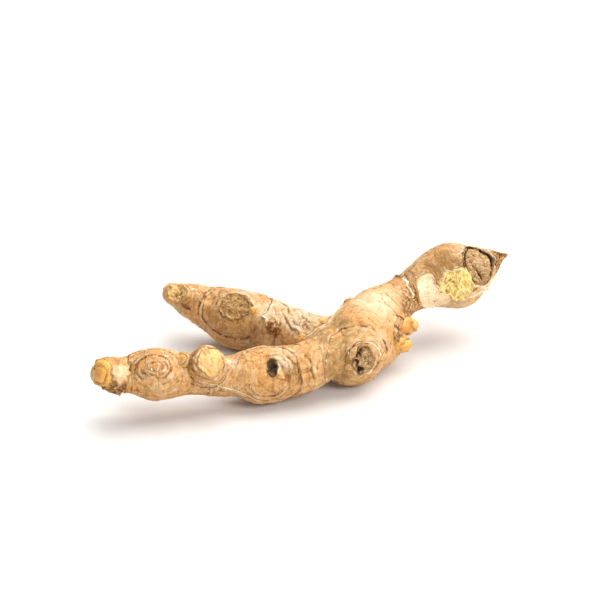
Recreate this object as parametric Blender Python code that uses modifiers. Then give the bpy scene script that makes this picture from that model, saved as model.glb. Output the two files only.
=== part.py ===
"""Ginger root: one rhizome lying on its underside, with two arms, a body, a neck and a raised head.

A rhizome grows season by season, so each limb is a row of swellings: a tapered tube runs through
them, and rounder lobes and small buds sit on it. All of these are fused by one voxel remesh into a
single closed solid, because the real thing is one piece. The worn places where old stems stood, and
the places where other fingers were snapped off, are then shaved from it.

Frame: +X along the length towards the head's tip, +Y to the back, +Z up. The origin is on the
floor, under the middle of the bounding box. Sizes here are in millimetres until MM scales them.
"""

import bmesh
import bpy
from mathutils import Matrix, Vector

MM = 0.001
NODE = "ginger_root"

VOXEL = 0.8
SOFTENING_ROUNDS = 10
RIM_EASING_ROUNDS = 2
TRIANGLES = 7600

SKIN_COLOUR = (0.56, 0.36, 0.16, 1.0)
SKIN_ROUGHNESS = 0.62

# Limbs: (x, y, z, radius) of each swelling, outwards from the body.
LIMBS = {
    "front_arm": (
        (8, -16, 18, 11.6),
        (2, -23, 16.5, 10.4),
        (-4, -26, 15, 11.0),
        (-12, -26.5, 13, 11.8),
        (-20, -28, 12.4, 12.4),
        (-28.5, -30.5, 13.5, 10.7),
        (-36, -31.5, 13.5, 8.6),
        (-46, -34, 15, 8.5),
        (-54, -36, 16.5, 9.1),
        (-61, -37.5, 18, 10.5),
        (-67, -39, 19, 10.9),
        (-73, -40.5, 19.8, 9.5),
        (-79.5, -42.5, 20.5, 7.2),
        (-84.5, -44, 21.3, 6.2),
        (-88, -44.5, 21.8, 4.4),
    ),
    "stump": (
        (-45.5, -33, 16, 8.0),
        (-44.5, -38, 21.5, 8.5),
        (-44, -40.5, 24.5, 7.6),
    ),
    "back_arm": (
        (8, -7, 18, 10.6),
        (0, -4, 17.5, 10.5),
        (-7.5, 1, 17, 10.6),
        (-15.5, 8.5, 16, 11.3),
        (-25, 17, 14.5, 12.8),
        (-34, 21.5, 14, 14.0),
        (-43, 24.5, 16, 12.0),
        (-50, 26, 18.5, 9.4),
        (-57.5, 28.5, 20.5, 8.2),
        (-64, 32, 22, 5.4),
    ),
    "body": (
        (16.5, -12, 15, 15.0),
        (19, -8.5, 18, 15.8),
        (22.5, -0.5, 20, 14.7),
        (28, 8, 22, 13.0),
        (35, 15.5, 24, 10.9),
        (42, 22, 26, 9.3),
        (49, 28.5, 26.6, 10.4),
        (55.5, 33.5, 27.6, 12.6),
        (62.5, 36.5, 28.8, 14.8),
        (69, 37, 30, 15.0),
        (75.5, 38, 32, 12.2),
        (81, 39.5, 34, 8.2),
        (86.5, 41.5, 36, 3.8),
        (91.5, 42.5, 37.2, 1.2),
    ),
    "underside": ((15, -13, 16, 14.0), (21, -6, 14, 13.0), (26.5, 0, 12, 11.6), (31, 6.5, 10.4, 10.4)),
    "back_stub": ((23, 3, 17, 12.0), (20, 11, 14, 9.4), (18.5, 17, 12.5, 8.2), (18, 20, 12, 7.4)),
    "right_bud_high": ((37, 8, 18.5, 4.6), (41, 7, 18.2, 4.0), (45, 6, 18, 3.2), (47.3, 5.2, 18.6, 1.4)),
    "right_bud_low": ((33, 1, 13.5, 4.6), (37.5, -0.2, 12.8, 4.0), (41.5, -1.2, 12.3, 3.2), (43.9, -2, 12.4, 1.5)),
    "spur": ((-82, -45, 19, 3.2), (-83, -46.6, 16.4, 1.8), (-82.6, -47, 14.4, 0.9)),
}

# Lobes and buds: (x, y, z), (radius along x, y, z).
LOBES = {
    "arm_bud": ((-54.5, -38.5, 24.5), (4.4, 4.2, 4.2)),
    "rosette_bud": ((-69.5, -45.5, 22.5), (3.0, 3.0, 3.0)),
    "back_arm_bud": ((-27, 11.5, 24.5), (3.4, 3.4, 3.4)),
    "crusty_bud": ((-17.5, -1.5, 21.5), (4.0, 4.0, 3.8)),
    "ringed_bud": ((-5, -8.5, 20.5), (4.4, 4.4, 4.4)),
    "shoulder_nub": ((16, 4.5, 31.5), (3.0, 2.8, 2.4)),
}

# Worn places, shaved as shallow dishes: (x, y, z) on the surface, outward direction, radius, depth.
DISHES = {
    "stump_face": ((-42.9, -48.3, 28), (0.05, -0.85, 0.53), 5.6, 1.3),
    "stem_scar": ((21.5, -26.6, 18.3), (0.28, -0.94, 0.2), 6.0, 1.1),
    "head_stem_scar": ((77, 27.4, 38), (0.45, -0.66, 0.6), 7.0, 1.1),
    "head_torn_scar": ((66, 21.2, 31.5), (0.15, -0.97, 0.15), 7.2, 1.0),
    "back_arm_scar": ((-35.5, 12.8, 25.6), (-0.14, -0.64, 0.76), 5.4, 0.8),
    "back_arm_end": ((-61.5, 24.2, 26), (-0.5, -0.55, 0.67), 6.0, 0.9),
    "back_stub_face": ((17.5, 26.6, 11.6), (-0.1, 1.0, -0.05), 6.4, 1.9),
}


def millimetres(values):
    return Vector(values) * MM


def tube(name, swellings, collection):
    """A tapered tube through the swellings, with a ball at each end."""
    curve = bpy.data.curves.new(name, "CURVE")
    curve.dimensions = "3D"
    curve.bevel_depth = MM
    curve.bevel_resolution = 8
    curve.resolution_u = 10
    curve.use_fill_caps = True
    spline = curve.splines.new("BEZIER")
    spline.radius_interpolation = "CARDINAL"
    spline.bezier_points.add(len(swellings) - 1)
    for point, (x, y, z, radius) in zip(spline.bezier_points, swellings):
        point.co = millimetres((x, y, z))
        point.radius = radius
        point.handle_left_type = point.handle_right_type = "AUTO"
    guide = bpy.data.objects.new(name, curve)
    collection.objects.link(guide)
    for end, (x, y, z, radius) in (("root", swellings[0]), ("tip", swellings[-1])):
        ball(f"{name}_{end}", (x, y, z), (radius, radius, radius), collection)


def ball(name, centre, radii, collection):
    """An ellipsoid lobe."""
    mesh = bpy.data.meshes.new(name)
    shape = bmesh.new()
    bmesh.ops.create_uvsphere(shape, u_segments=32, v_segments=20, radius=MM)
    shape.to_mesh(mesh)
    shape.free()
    guide = bpy.data.objects.new(name, mesh)
    guide.location = millimetres(centre)
    guide.scale = radii
    collection.objects.link(guide)


def dish_cutter(name, place, direction, radius, depth, collection):
    """A large ball that shaves a dish of this radius and depth from the surface at the place."""
    ball_radius = (radius * radius + depth * depth) / (2 * depth)
    centre = Vector(place) + Vector(direction).normalized() * (ball_radius - depth)
    ball(name, centre, (ball_radius,) * 3, collection)


def fused(guides):
    """One mesh holding every guide's surface, with the tubes' caps welded on."""
    depsgraph = bpy.context.evaluated_depsgraph_get()
    joined = bmesh.new()
    for guide in guides:
        mesh = bpy.data.meshes.new_from_object(guide.evaluated_get(depsgraph))
        mesh.transform(guide.matrix_world)
        joined.from_mesh(mesh)
        bpy.data.meshes.remove(mesh)
    bmesh.ops.remove_doubles(joined, verts=joined.verts, dist=0.00001)
    mesh = bpy.data.meshes.new("growth")
    joined.to_mesh(mesh)
    joined.free()
    return mesh


def skin_material():
    material = bpy.data.materials.new("ginger_skin")
    material.use_nodes = True
    surface = material.node_tree.nodes["Principled BSDF"]
    surface.inputs["Base Color"].default_value = SKIN_COLOUR
    surface.inputs["Roughness"].default_value = SKIN_ROUGHNESS
    surface.inputs["Metallic"].default_value = 0.0
    return material


def evaluated_mesh(thing):
    bpy.context.view_layer.update()
    depsgraph = bpy.context.evaluated_depsgraph_get()
    return bpy.data.meshes.new_from_object(thing.evaluated_get(depsgraph))


def rest_on_floor(mesh):
    """Moves the mesh so that the middle of its box stands over the origin and its lowest point is at z = 0."""
    lows = [min(vertex.co[axis] for vertex in mesh.vertices) for axis in range(3)]
    highs = [max(vertex.co[axis] for vertex in mesh.vertices) for axis in range(3)]
    middle = Vector(((lows[0] + highs[0]) / 2, (lows[1] + highs[1]) / 2, lows[2]))
    mesh.transform(Matrix.Translation(-middle))


def grown_mesh(guides):
    """The limbs, lobes and buds fused into one surface and softened where they meet."""
    growth = bpy.data.objects.new("growth", fused(guides.objects))
    guides.objects.link(growth)
    remesh = growth.modifiers.new("fuse", "REMESH")
    remesh.mode = "VOXEL"
    remesh.voxel_size = VOXEL * MM
    soften = growth.modifiers.new("soften", "SMOOTH")
    soften.factor = 0.5
    soften.iterations = SOFTENING_ROUNDS
    mesh = evaluated_mesh(growth)
    bpy.data.objects.remove(growth, do_unlink=True)
    rest_on_floor(mesh)
    return mesh


def thinned(ginger):
    """The shaved surface with its rims eased, brought down to the wanted number of triangles."""
    ease = ginger.modifiers.new("ease_rims", "SMOOTH")
    ease.factor = 0.5
    ease.iterations = RIM_EASING_ROUNDS
    fine = evaluated_mesh(ginger)
    fine.calc_loop_triangles()
    thin = ginger.modifiers.new("thin", "DECIMATE")
    thin.ratio = TRIANGLES / len(fine.loop_triangles)
    thin.use_collapse_triangulate = True
    bpy.data.meshes.remove(fine)
    return evaluated_mesh(ginger)


def main():
    for thing in list(bpy.data.objects):
        bpy.data.objects.remove(thing, do_unlink=True)
    guides = bpy.data.collections.new("growth_guides")
    cutters = bpy.data.collections.new("cutters")
    root = bpy.data.collections.new("ginger_root")
    for collection in (guides, cutters, root):
        bpy.context.scene.collection.children.link(collection)

    for name, swellings in LIMBS.items():
        tube(name, swellings, guides)
    for name, (centre, radii) in LOBES.items():
        ball(name, centre, radii, guides)
    for name, (place, direction, radius, depth) in DISHES.items():
        dish_cutter(name, place, direction, radius, depth, cutters)
    bpy.context.view_layer.update()

    ginger = bpy.data.objects.new(NODE, grown_mesh(guides))
    root.objects.link(ginger)
    for cutter in cutters.objects:
        shave = ginger.modifiers.new(cutter.name, "BOOLEAN")
        shave.operation = "DIFFERENCE"
        shave.solver = "EXACT"
        shave.object = cutter
    mesh = thinned(ginger)
    ginger.modifiers.clear()
    rest_on_floor(mesh)
    mesh.name = NODE
    mesh.shade_smooth()
    mesh.materials.clear()
    mesh.materials.append(skin_material())
    ginger.data = mesh

    for collection in (guides, cutters):
        collection.hide_render = True
        for guide in collection.objects:
            guide.hide_render = True
            guide.display_type = "WIRE"


main()
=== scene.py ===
"""Ginger root: the visible surface of a whole fresh rhizome, modelled round its CAD solid.

The skin is the CAD solid remeshed finely and then worked over: growth rings, lengthwise wrinkles,
splits and scars are raised or sunk along the surface's own normals, and the same fields are kept as
colour attributes, which the skin's material reads. Scars, buds and torn shreds are pieces of their
own, laid on that skin. Sizes in this file are millimetres until MM scales them to metres.
"""

import math

import bmesh
import bpy
import numpy as np
from bpy.props import FloatProperty, FloatVectorProperty, PointerProperty
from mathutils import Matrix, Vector
from mathutils.bvhtree import BVHTree


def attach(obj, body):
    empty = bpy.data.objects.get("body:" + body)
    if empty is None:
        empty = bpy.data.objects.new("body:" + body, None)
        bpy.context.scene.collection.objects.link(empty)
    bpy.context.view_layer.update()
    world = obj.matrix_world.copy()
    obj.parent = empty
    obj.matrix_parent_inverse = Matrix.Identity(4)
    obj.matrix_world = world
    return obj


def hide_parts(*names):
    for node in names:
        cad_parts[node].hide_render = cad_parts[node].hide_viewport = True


bl_info = {
    "name": "Ginger Root",
    "version": (1, 0, 0),
    "blender": (4, 5, 0),
    "location": "3D View > Sidebar > Ginger",
    "description": "Builds the skin, scars, buds and shreds of a fresh ginger rhizome",
    "category": "Object",
}

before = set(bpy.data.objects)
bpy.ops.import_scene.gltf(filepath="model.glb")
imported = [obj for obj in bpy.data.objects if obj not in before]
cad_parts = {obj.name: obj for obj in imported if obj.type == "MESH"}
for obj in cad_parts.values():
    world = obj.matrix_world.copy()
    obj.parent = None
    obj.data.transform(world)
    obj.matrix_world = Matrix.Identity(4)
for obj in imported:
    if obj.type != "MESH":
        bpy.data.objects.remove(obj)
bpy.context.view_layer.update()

MM = 0.001
NODE = "ginger_root"
# The skin's lowest points stay this far above the floor.
FLOOR_GAP = 0.03
# How much deeper than its rim the skin is cut under each scar, to make room for the scar's face.
FACE_BED = 1.3

# ---------------------------------------------------------------- the root's own plan

# Centre lines of the limbs: (x, y, z, radius) of each swelling, outwards from the body.
LIMBS = {
    "front_arm": (
        (8, -17, 18, 11.6), (2, -24, 16.5, 10.4), (-4, -27, 15, 11), (-12, -27.6, 13, 11.8),
        (-20, -29, 12.4, 12.4), (-28.5, -31.6, 13.5, 10.7), (-36, -32.6, 13.5, 8.6),
        (-46, -35, 15, 8.5), (-54, -37, 16.5, 9.1), (-61, -38.6, 18, 10.5), (-67, -40, 19, 10.9),
        (-73, -41.6, 19.8, 9.5), (-79.5, -43.6, 20.5, 7.2), (-84.5, -45, 21.3, 6.2),
        (-88, -45.6, 21.8, 4.4),
    ),
    "stump": ((-45.5, -34, 16, 8), (-44.5, -39, 21.5, 8.5), (-44, -41.6, 24.5, 7.6)),
    "back_arm": (
        (8, -8, 18, 10.6), (0, -5, 17.5, 10.5), (-7.5, 0, 17, 10.6), (-15.5, 7.5, 16, 11.3),
        (-25, 16, 14.5, 12.8), (-34, 20.5, 14, 14), (-43, 23.5, 16, 12), (-50, 25, 18.5, 9.4),
        (-57.5, 27.5, 20.5, 8.2), (-64, 31, 22, 5.4),
    ),
    "body": (
        (16.5, -13, 15, 15), (19, -9.6, 18, 15.8), (22.5, -1.6, 20, 14.7), (28, 7, 22, 13),
        (35, 14.5, 24, 10.9), (42, 21, 26, 9.3), (49, 27.5, 26.6, 10.4), (55.5, 32.5, 27.6, 12.6),
        (62.5, 35.5, 28.8, 14.8), (69, 36, 30, 15), (75.5, 37, 32, 12.2), (81, 38.5, 34, 8.2),
        (86.5, 40.5, 36, 3.8), (91.5, 41.5, 37.2, 1.2),
    ),
    "back_stub": ((23, 2, 17, 12), (20, 10, 14, 9.4), (18.5, 16, 12.5, 8.2), (18, 19, 12, 7.4)),
}
LIMB_NAMES = tuple(LIMBS)
STEPS_PER_SWELLING = 6

# Growth rings. A family's rings lie where its field has these values, in millimetres: the distance
# from a pole, which is the middle of a lobe's end, or the way along an axis or along the limb.
# strength 1 is a clear brown ring; stretch below 1 draws a pole's rings out along X.
RINGS = (
    dict(limbs=("back_arm",), axis=(-0.93, -0.36, 0.08), span=(0, 34),
         values=(3.2, 6.3, 8.4, 10.6, 12.9, 15.4, 17.7), strength=(1.0, 0.8, 0.35, 0.6, 0.9, 0.3, 0.9)),
    dict(limbs=("back_arm",), pole=(-34.5, 13.2, 25.0), span=(27, 70),
         values=(9.0, 12.0, 15.5, 19.5, 24.0), strength=(0.5, 0.25, 1.0, 0.4, 0.6)),
    dict(limbs=("back_arm",), along=True, span=(62, 90),
         values=(64.5, 68.5, 72.5, 76.5), strength=(0.7, 0.9, 0.6, 0.6)),
    dict(limbs=("front_arm",), pole=(-20, -37, 16), span=(0, 46),
         values=(7.6, 9.6, 11.4, 14.4, 16.6, 19.8, 22.6, 26.0),
         strength=(1.0, 0.5, 0.4, 1.0, 0.3, 0.7, 0.3, 0.4)),
    dict(limbs=("stump", "front_arm"), pole=(-42.9, -47.6, 27.8), span=(-20, 70), reach=15,
         values=(7.2, 8.8, 11.2, 13.6), strength=(0.9, 0.5, 0.7, 0.4)),
    dict(limbs=("front_arm",), pole=(-64.6, -48, 26.6), stretch=0.74, span=(66, 92),
         values=(2.2, 3.7, 5.3, 7.3, 9.6, 12.6), strength=(0.8, 0.9, 1.0, 0.6, 0.5, 0.5)),
    dict(limbs=("front_arm",), along=True, span=(52, 72),
         values=(54.0, 58.5, 62.5, 66.5), strength=(0.4, 0.6, 0.5, 0.6)),
    dict(limbs=("front_arm",), along=True, span=(86, 108),
         values=(88.0, 91.5, 95.5, 99.5), strength=(0.5, 0.7, 0.6, 0.6)),
    dict(limbs=("body", "front_arm"), pole=(21.5, -27, 18), span=(-20, 16), reach=14,
         values=(7.9, 10.3), strength=(1.0, 0.3)),
    dict(limbs=("body", "front_arm", "back_arm"), pole=(19, -26.5, 17), span=(-20, 24), reach=26,
         values=(16.3, 20.5, 24.4), strength=(1.0, 0.25, 0.3)),
    dict(limbs=("body",), axis=(0.7, 0.62, 0.12), span=(10, 40),
         values=(17.0, 22.5, 27.0, 31.0, 34.0), strength=(0.3, 0.4, 0.5, 0.6, 0.5)),
    dict(limbs=("body",), axis=(0.93, 0.33, 0.1), span=(34, 56),
         values=(41.0, 44.4, 48.2, 50.2, 52.0), strength=(0.7, 0.6, 1.0, 1.0, 0.8)),
    dict(limbs=("body",), along=True, span=(54, 110),
         values=(60.0, 67.0, 75.5, 83.0, 90.0, 94.5, 98.0),
         strength=(0.3, 0.3, 0.35, 0.5, 0.9, 0.7, 0.6)),
    dict(limbs=("back_stub",), pole=(17.5, 26, 11.6), span=(-20, 40),
         values=(8.2, 10.5, 13.5, 17.0), strength=(0.8, 0.5, 0.7, 0.4)),
)

# Where the skin swells out (or draws in, if the height is negative): middle, reach and height.
BULGES = (
    (-63, -42, 30, 9, 1.2), (-52.5, -39, 26, 4, -1.0), (-75, -45, 27, 4, -0.7), (-83, -44, 26, 5, 0.7),
    (-36.5, -37, 22, 3.6, -1.3), (-30, -35, 23, 5, 0.9), (-20, -34, 25.5, 7, 0.8),
    (-8, -29, 26, 5, -0.5), (-46.8, 22, 29, 3.2, -1.6), (-47.2, 17.6, 25.6, 3.0, -1.5),
    (-48.6, 15, 20.5, 3.0, -1.5), (-50.5, 14.5, 15.5, 3.2, -1.4), (-38, 13, 27, 8, 1.2),
    (-41, 9.6, 18, 7, 1.1), (-56, 20.5, 24, 5, 0.8), (-58, 24, 28, 4, 0.6), (-14, -2, 26, 6, 0.6),
    (-16.6, -4.4, 22.8, 3.2, 1.4), (-21, 5, 28, 4, -0.5), (-63, -47, 10, 8, 0.9),
    (-48, -42, 9.6, 7, -0.8), (-22, -38, 6, 7, 0.6), (16, -26, 8, 7, 0.5), (8, -20, 28, 7, -0.6),
    (20, -18, 30, 8, 0.4), (44, 17, 35.6, 5, -0.7), (41, 9, 22, 4, -0.8), (60, 22, 42, 9, 0.7),
    (47.6, 4, 18.6, 3.2, -2.6), (44, -3.2, 12.4, 3.2, -2.6), (72, 23, 21, 7, 0.9), (33, -6, 30, 6, 0.7),
    (30, -12, 13, 6, 0.5),
)

# Where the rings are worn away: middle and reach.
WORN = (
    (-25, -40, 19, 8.5), (-16, -40, 14, 5.5), (-22, -36, 26, 6), (13, -30, 13, 8), (8, -27, 21, 6.5),
    (22, -30, 8, 8), (-66, -50, 20, 5), (-40, -47, 21, 4), (-44, 8, 18, 6), (-28, 4, 18, 6),
    (30, -8, 33, 7), (62, 24, 43, 6),
)

# Splits, folds and torn edges that follow no ring: a line of points on the skin, how wide and deep
# the groove is, how far its edge stands up, and how brown it is.
SPLITS = {
    "sheath_edge_low": dict(
        line=(
            (-54, -45, 20), (-47, -46.5, 18), (-40.8, -44.5, 15), (-32.7, -42.2, 11.3), (-27, -41, 8.5),
            (-21.4, -40, 5.3)),
        width=0.5, depth=0.25, lip=0.35, brown=0.35),
    "fold_under_stump": dict(
        line=((-52, -47, 23.5), (-50.5, -44.5, 16.5), (-54, -44.5, 12.5)), width=0.8, depth=0.5,
        lip=0.1, brown=0.7),
    "crease_left_of_stump": dict(
        line=((-51.2, -40, 28), (-51.4, -44, 25), (-51, -46, 20.5)), width=0.7, depth=0.6, lip=0.1,
        brown=0.8),
    "bracket_split": dict(
        line=(
            (-12.1, -31.6, 23.9), (-9.6, -34, 23), (-6, -37.4, 19.6), (-6.2, -38.8, 14.8),
            (-9.5, -38.2, 8.1)),
        width=0.6, depth=0.55, lip=0.25, brown=1.0),
    "bracket_split_inner": dict(
        line=((-9.5, -35.2, 22), (-7.2, -37.6, 18), (-7.5, -38.9, 13.5)), width=0.5, depth=0.3,
        lip=0.15, brown=0.7),
    "flap_split": dict(
        line=((-4.6, -31.5, 25), (-2.5, -34.2, 23), (0.6, -35.6, 20.6), (3, -35.6, 17.8)), width=0.8,
        depth=0.6, lip=0.3, brown=1.0),
    "arm_crotch": dict(
        line=((-9, -13.6, 21.5), (-2, -16.5, 22.6), (3, -16, 24), (7.5, -13, 27.6)), width=1.0,
        depth=0.8, lip=0.3, brown=1.0),
    "shoulder_split": dict(
        line=((22.8, -10.4, 33.4), (26.5, -11.6, 32.2), (30.8, -12.2, 29.2)), width=0.4, depth=0.3,
        lip=0.1, brown=0.8),
    "shoulder_edge": dict(
        line=((4.6, -14.5, 28.8), (6.8, -9.6, 29.8), (10.2, -3.6, 31), (14, 0.6, 32.2)), width=0.6,
        depth=0.4, lip=0.5, brown=0.55),
    "bud_socket_split": dict(
        line=((30.5, -7.5, 29), (34, -6.6, 25.4), (37.6, -3.4, 21.6), (39.5, 0, 17.5)), width=0.9,
        depth=0.6, lip=0.3, brown=0.9),
    "head_tear": dict(
        line=((71.5, 21.6, 26.6), (76.5, 23.6, 28.4), (80.6, 27, 29.6), (83.8, 31, 31)), width=0.7,
        depth=0.6, lip=0.5, brown=0.9),
    "head_tear_low": dict(
        line=((62, 21.8, 20), (69.6, 21.6, 20.8), (75.6, 24.2, 22), (79, 28, 22)), width=0.4, depth=0.3,
        lip=0.35, brown=0.3),
    "scar_side_wrinkle": dict(
        line=((62, 23.4, 38), (64.6, 22.8, 39.6), (68.6, 25, 40.6)), width=0.4, depth=0.35, lip=0.3,
        brown=0.6),
    "back_arm_split": dict(
        line=((-26, 8.6, 27.3), (-25, 9.6, 27.4), (-23.6, 8.4, 27)), width=0.9, depth=0.6, lip=0.2,
        brown=1.0),
    "eyebrow": dict(
        line=(
            (-57.6, 21.6, 26.4), (-55.6, 24, 27.4), (-52.8, 24.2, 27.3), (-50.2, 22, 26.6),
            (-49.4, 18.8, 25)),
        width=0.7, depth=0.5, lip=0.4, brown=1.0),
    "end_pit_line": dict(
        line=((-60.6, 19.6, 22.6), (-57.8, 18, 20.6), (-55, 17, 20.4)), width=0.8, depth=0.6, lip=0.2,
        brown=1.0),
    "end_pit_line_low": dict(
        line=((-56, 16.6, 17.6), (-52.6, 15.4, 18), (-50.6, 14.8, 20)), width=0.8, depth=0.5, lip=0.2,
        brown=0.9),
}

# Scars and worn faces: middle, outward direction, half-width and half-height as seen from outside,
# how far the skin sinks there, how high its rim stands and how strongly the skin round it is stained.
SCARS = {
    "star_scab": dict(
        at=(-79.4, -50, 24.6), out=(0.05, -0.82, 0.57), half=(4.3, 4.7), sink=0.0, rim=0.0, stain=0.9),
    "stump_face": dict(
        at=(-42.4, -47.4, 28.5), out=(0.05, -0.85, 0.53), half=(5.2, 6.0), sink=0.3, rim=0.5,
        stain=0.15),
    "stem_scar": dict(
        at=(21.2, -26.7, 17.9), out=(0.26, -0.95, 0.2), half=(5.5, 6.4), sink=0.35, rim=0.5, stain=0.5),
    "head_stem_scar": dict(
        at=(76.2, 27.6, 39.0), out=(0.42, -0.64, 0.64), half=(8.9, 9.6), sink=0.8, rim=0.9, stain=0.6),
    "torn_flesh": dict(
        at=(66.2, 20.6, 31.2), out=(0.15, -0.97, 0.15), half=(7.8, 7.8), sink=0.8, rim=0.2, stain=0.35),
    "peeled_patch": dict(
        at=(55.4, 19.6, 27.6), out=(0.12, -0.98, 0.12), half=(8.0, 9.4), sink=0.35, rim=0.15,
        stain=0.1),
    "back_arm_scar": dict(
        at=(-34.6, 11.6, 25.2), out=(-0.14, -0.6, 0.79), half=(7.4, 6.8), sink=0.7, rim=0.35,
        stain=0.6),
    "back_arm_end": dict(
        at=(-61.4, 24, 26), out=(-0.45, -0.55, 0.7), half=(6.4, 4.6), sink=0.5, rim=0.3, stain=0.4),
    "back_stub_face": dict(
        at=(17.6, 25.6, 11.6), out=(-0.1, 1.0, -0.05), half=(6.2, 5.8), sink=0.6, rim=0.4, stain=0.5),
    "crater": dict(
        at=(-17, -38.2, 21), out=(0.1, -0.7, 0.7), half=(2.1, 4.0), sink=0.9, rim=0.5, stain=0.7),
}

# The peeled patch's outline: how far each corner is across and up from its middle.
PATCH_OUTLINE = (
    (-8.0, 6.6), (-4.4, 8.2), (-0.6, 8.4), (1.0, 4.0), (3.0, 0.2), (9.0, -3.4), (6.4, -6.4), (1.6, -8.6),
    (-3.4, -7.8), (-6.4, -3.6), (-8.2, 2.0),
)

# Buds: middle of the base, the way it points, base radius, height, how many scale leaves wrap it and
# how yellow it is, from 0 to 1. A crusted bud has dried up.
BUDS = {
    "arm_tip_bud": dict(
        at=(-86.6, -47.0, 23.2), out=(-0.56, -0.68, 0.32), radius=5.2, height=3.6, scales=2, ripe=1.0),
    "right_bud_high": dict(
        at=(39.5, 5.6, 18.6), out=(0.97, -0.16, 0.06), radius=4.4, height=8.2, scales=2, ripe=0.65),
    "right_bud_low": dict(
        at=(36, -1.4, 13.2), out=(0.97, -0.2, -0.06), radius=4.5, height=8.4, scales=2, ripe=0.7),
    "rosette_bud": dict(
        at=(-64.6, -46.9, 26.2), out=(0.05, -0.7, 0.71), radius=2.5, height=1.7, scales=3, ripe=0.2),
    "rosette_side_bud": dict(
        at=(-68.6, -46.7, 26.2), out=(-0.3, -0.72, 0.62), radius=1.5, height=1.5, scales=2, ripe=0.35),
    "stump_side_bud": dict(
        at=(-54, -41.4, 26.3), out=(-0.15, -0.66, 0.74), radius=2.9, height=1.7, scales=2, ripe=0.35),
    "back_arm_bud": dict(
        at=(-26.6, 7.6, 24.6), out=(-0.1, -0.85, 0.55), radius=1.6, height=1.8, scales=2, ripe=0.8),
    "back_yellow_bud": dict(
        at=(-40.6, 17.6, 27), out=(-0.3, -0.3, 0.9), radius=1.9, height=0.7, scales=2, ripe=0.2),
    "crusty_bud": dict(
        at=(-16.6, -4, 22.6), out=(0.1, -0.8, 0.6), radius=3.0, height=1.8, scales=3, ripe=0.2,
        crusted=True),
    "crotch_bud": dict(
        at=(-4.4, -13.4, 21), out=(-0.25, -0.8, 0.55), radius=2.6, height=2.0, scales=3, ripe=0.65),
    "eyebrow_bud": dict(
        at=(-52.6, 20, 25.8), out=(-0.2, -0.6, 0.77), radius=2.4, height=0.9, scales=2, ripe=0.05),
    "dark_ringed_bud": dict(
        at=(-43.6, 12.6, 9.4), out=(-0.5, -0.8, -0.3), radius=1.4, height=1.2, scales=2, ripe=0.9),
    "scar_yellow_bud": dict(
        at=(15.6, -27.6, 15.8), out=(-0.1, -0.98, 0.15), radius=2.3, height=1.0, scales=2, ripe=0.4),
    "fringed_bud": dict(
        at=(29.6, -20.2, 16.4), out=(0.78, -0.6, -0.1), radius=2.6, height=1.6, scales=3, ripe=0.5),
    "shoulder_nub": dict(
        at=(15.6, 2.6, 31.8), out=(-0.4, 0.1, 0.9), radius=1.7, height=1.0, scales=2, ripe=0.3,
        crusted=True),
    "back_low_bud": dict(
        at=(44, 31, 20.5), out=(-0.1, 0.95, -0.25), radius=2.4, height=2.2, scales=3, ripe=0.6),
    "under_arm_bud": dict(
        at=(-56, -31, 9.6), out=(0, 0.5, -0.86), radius=2.0, height=1.3, scales=2, ripe=0.8),
}

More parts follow.
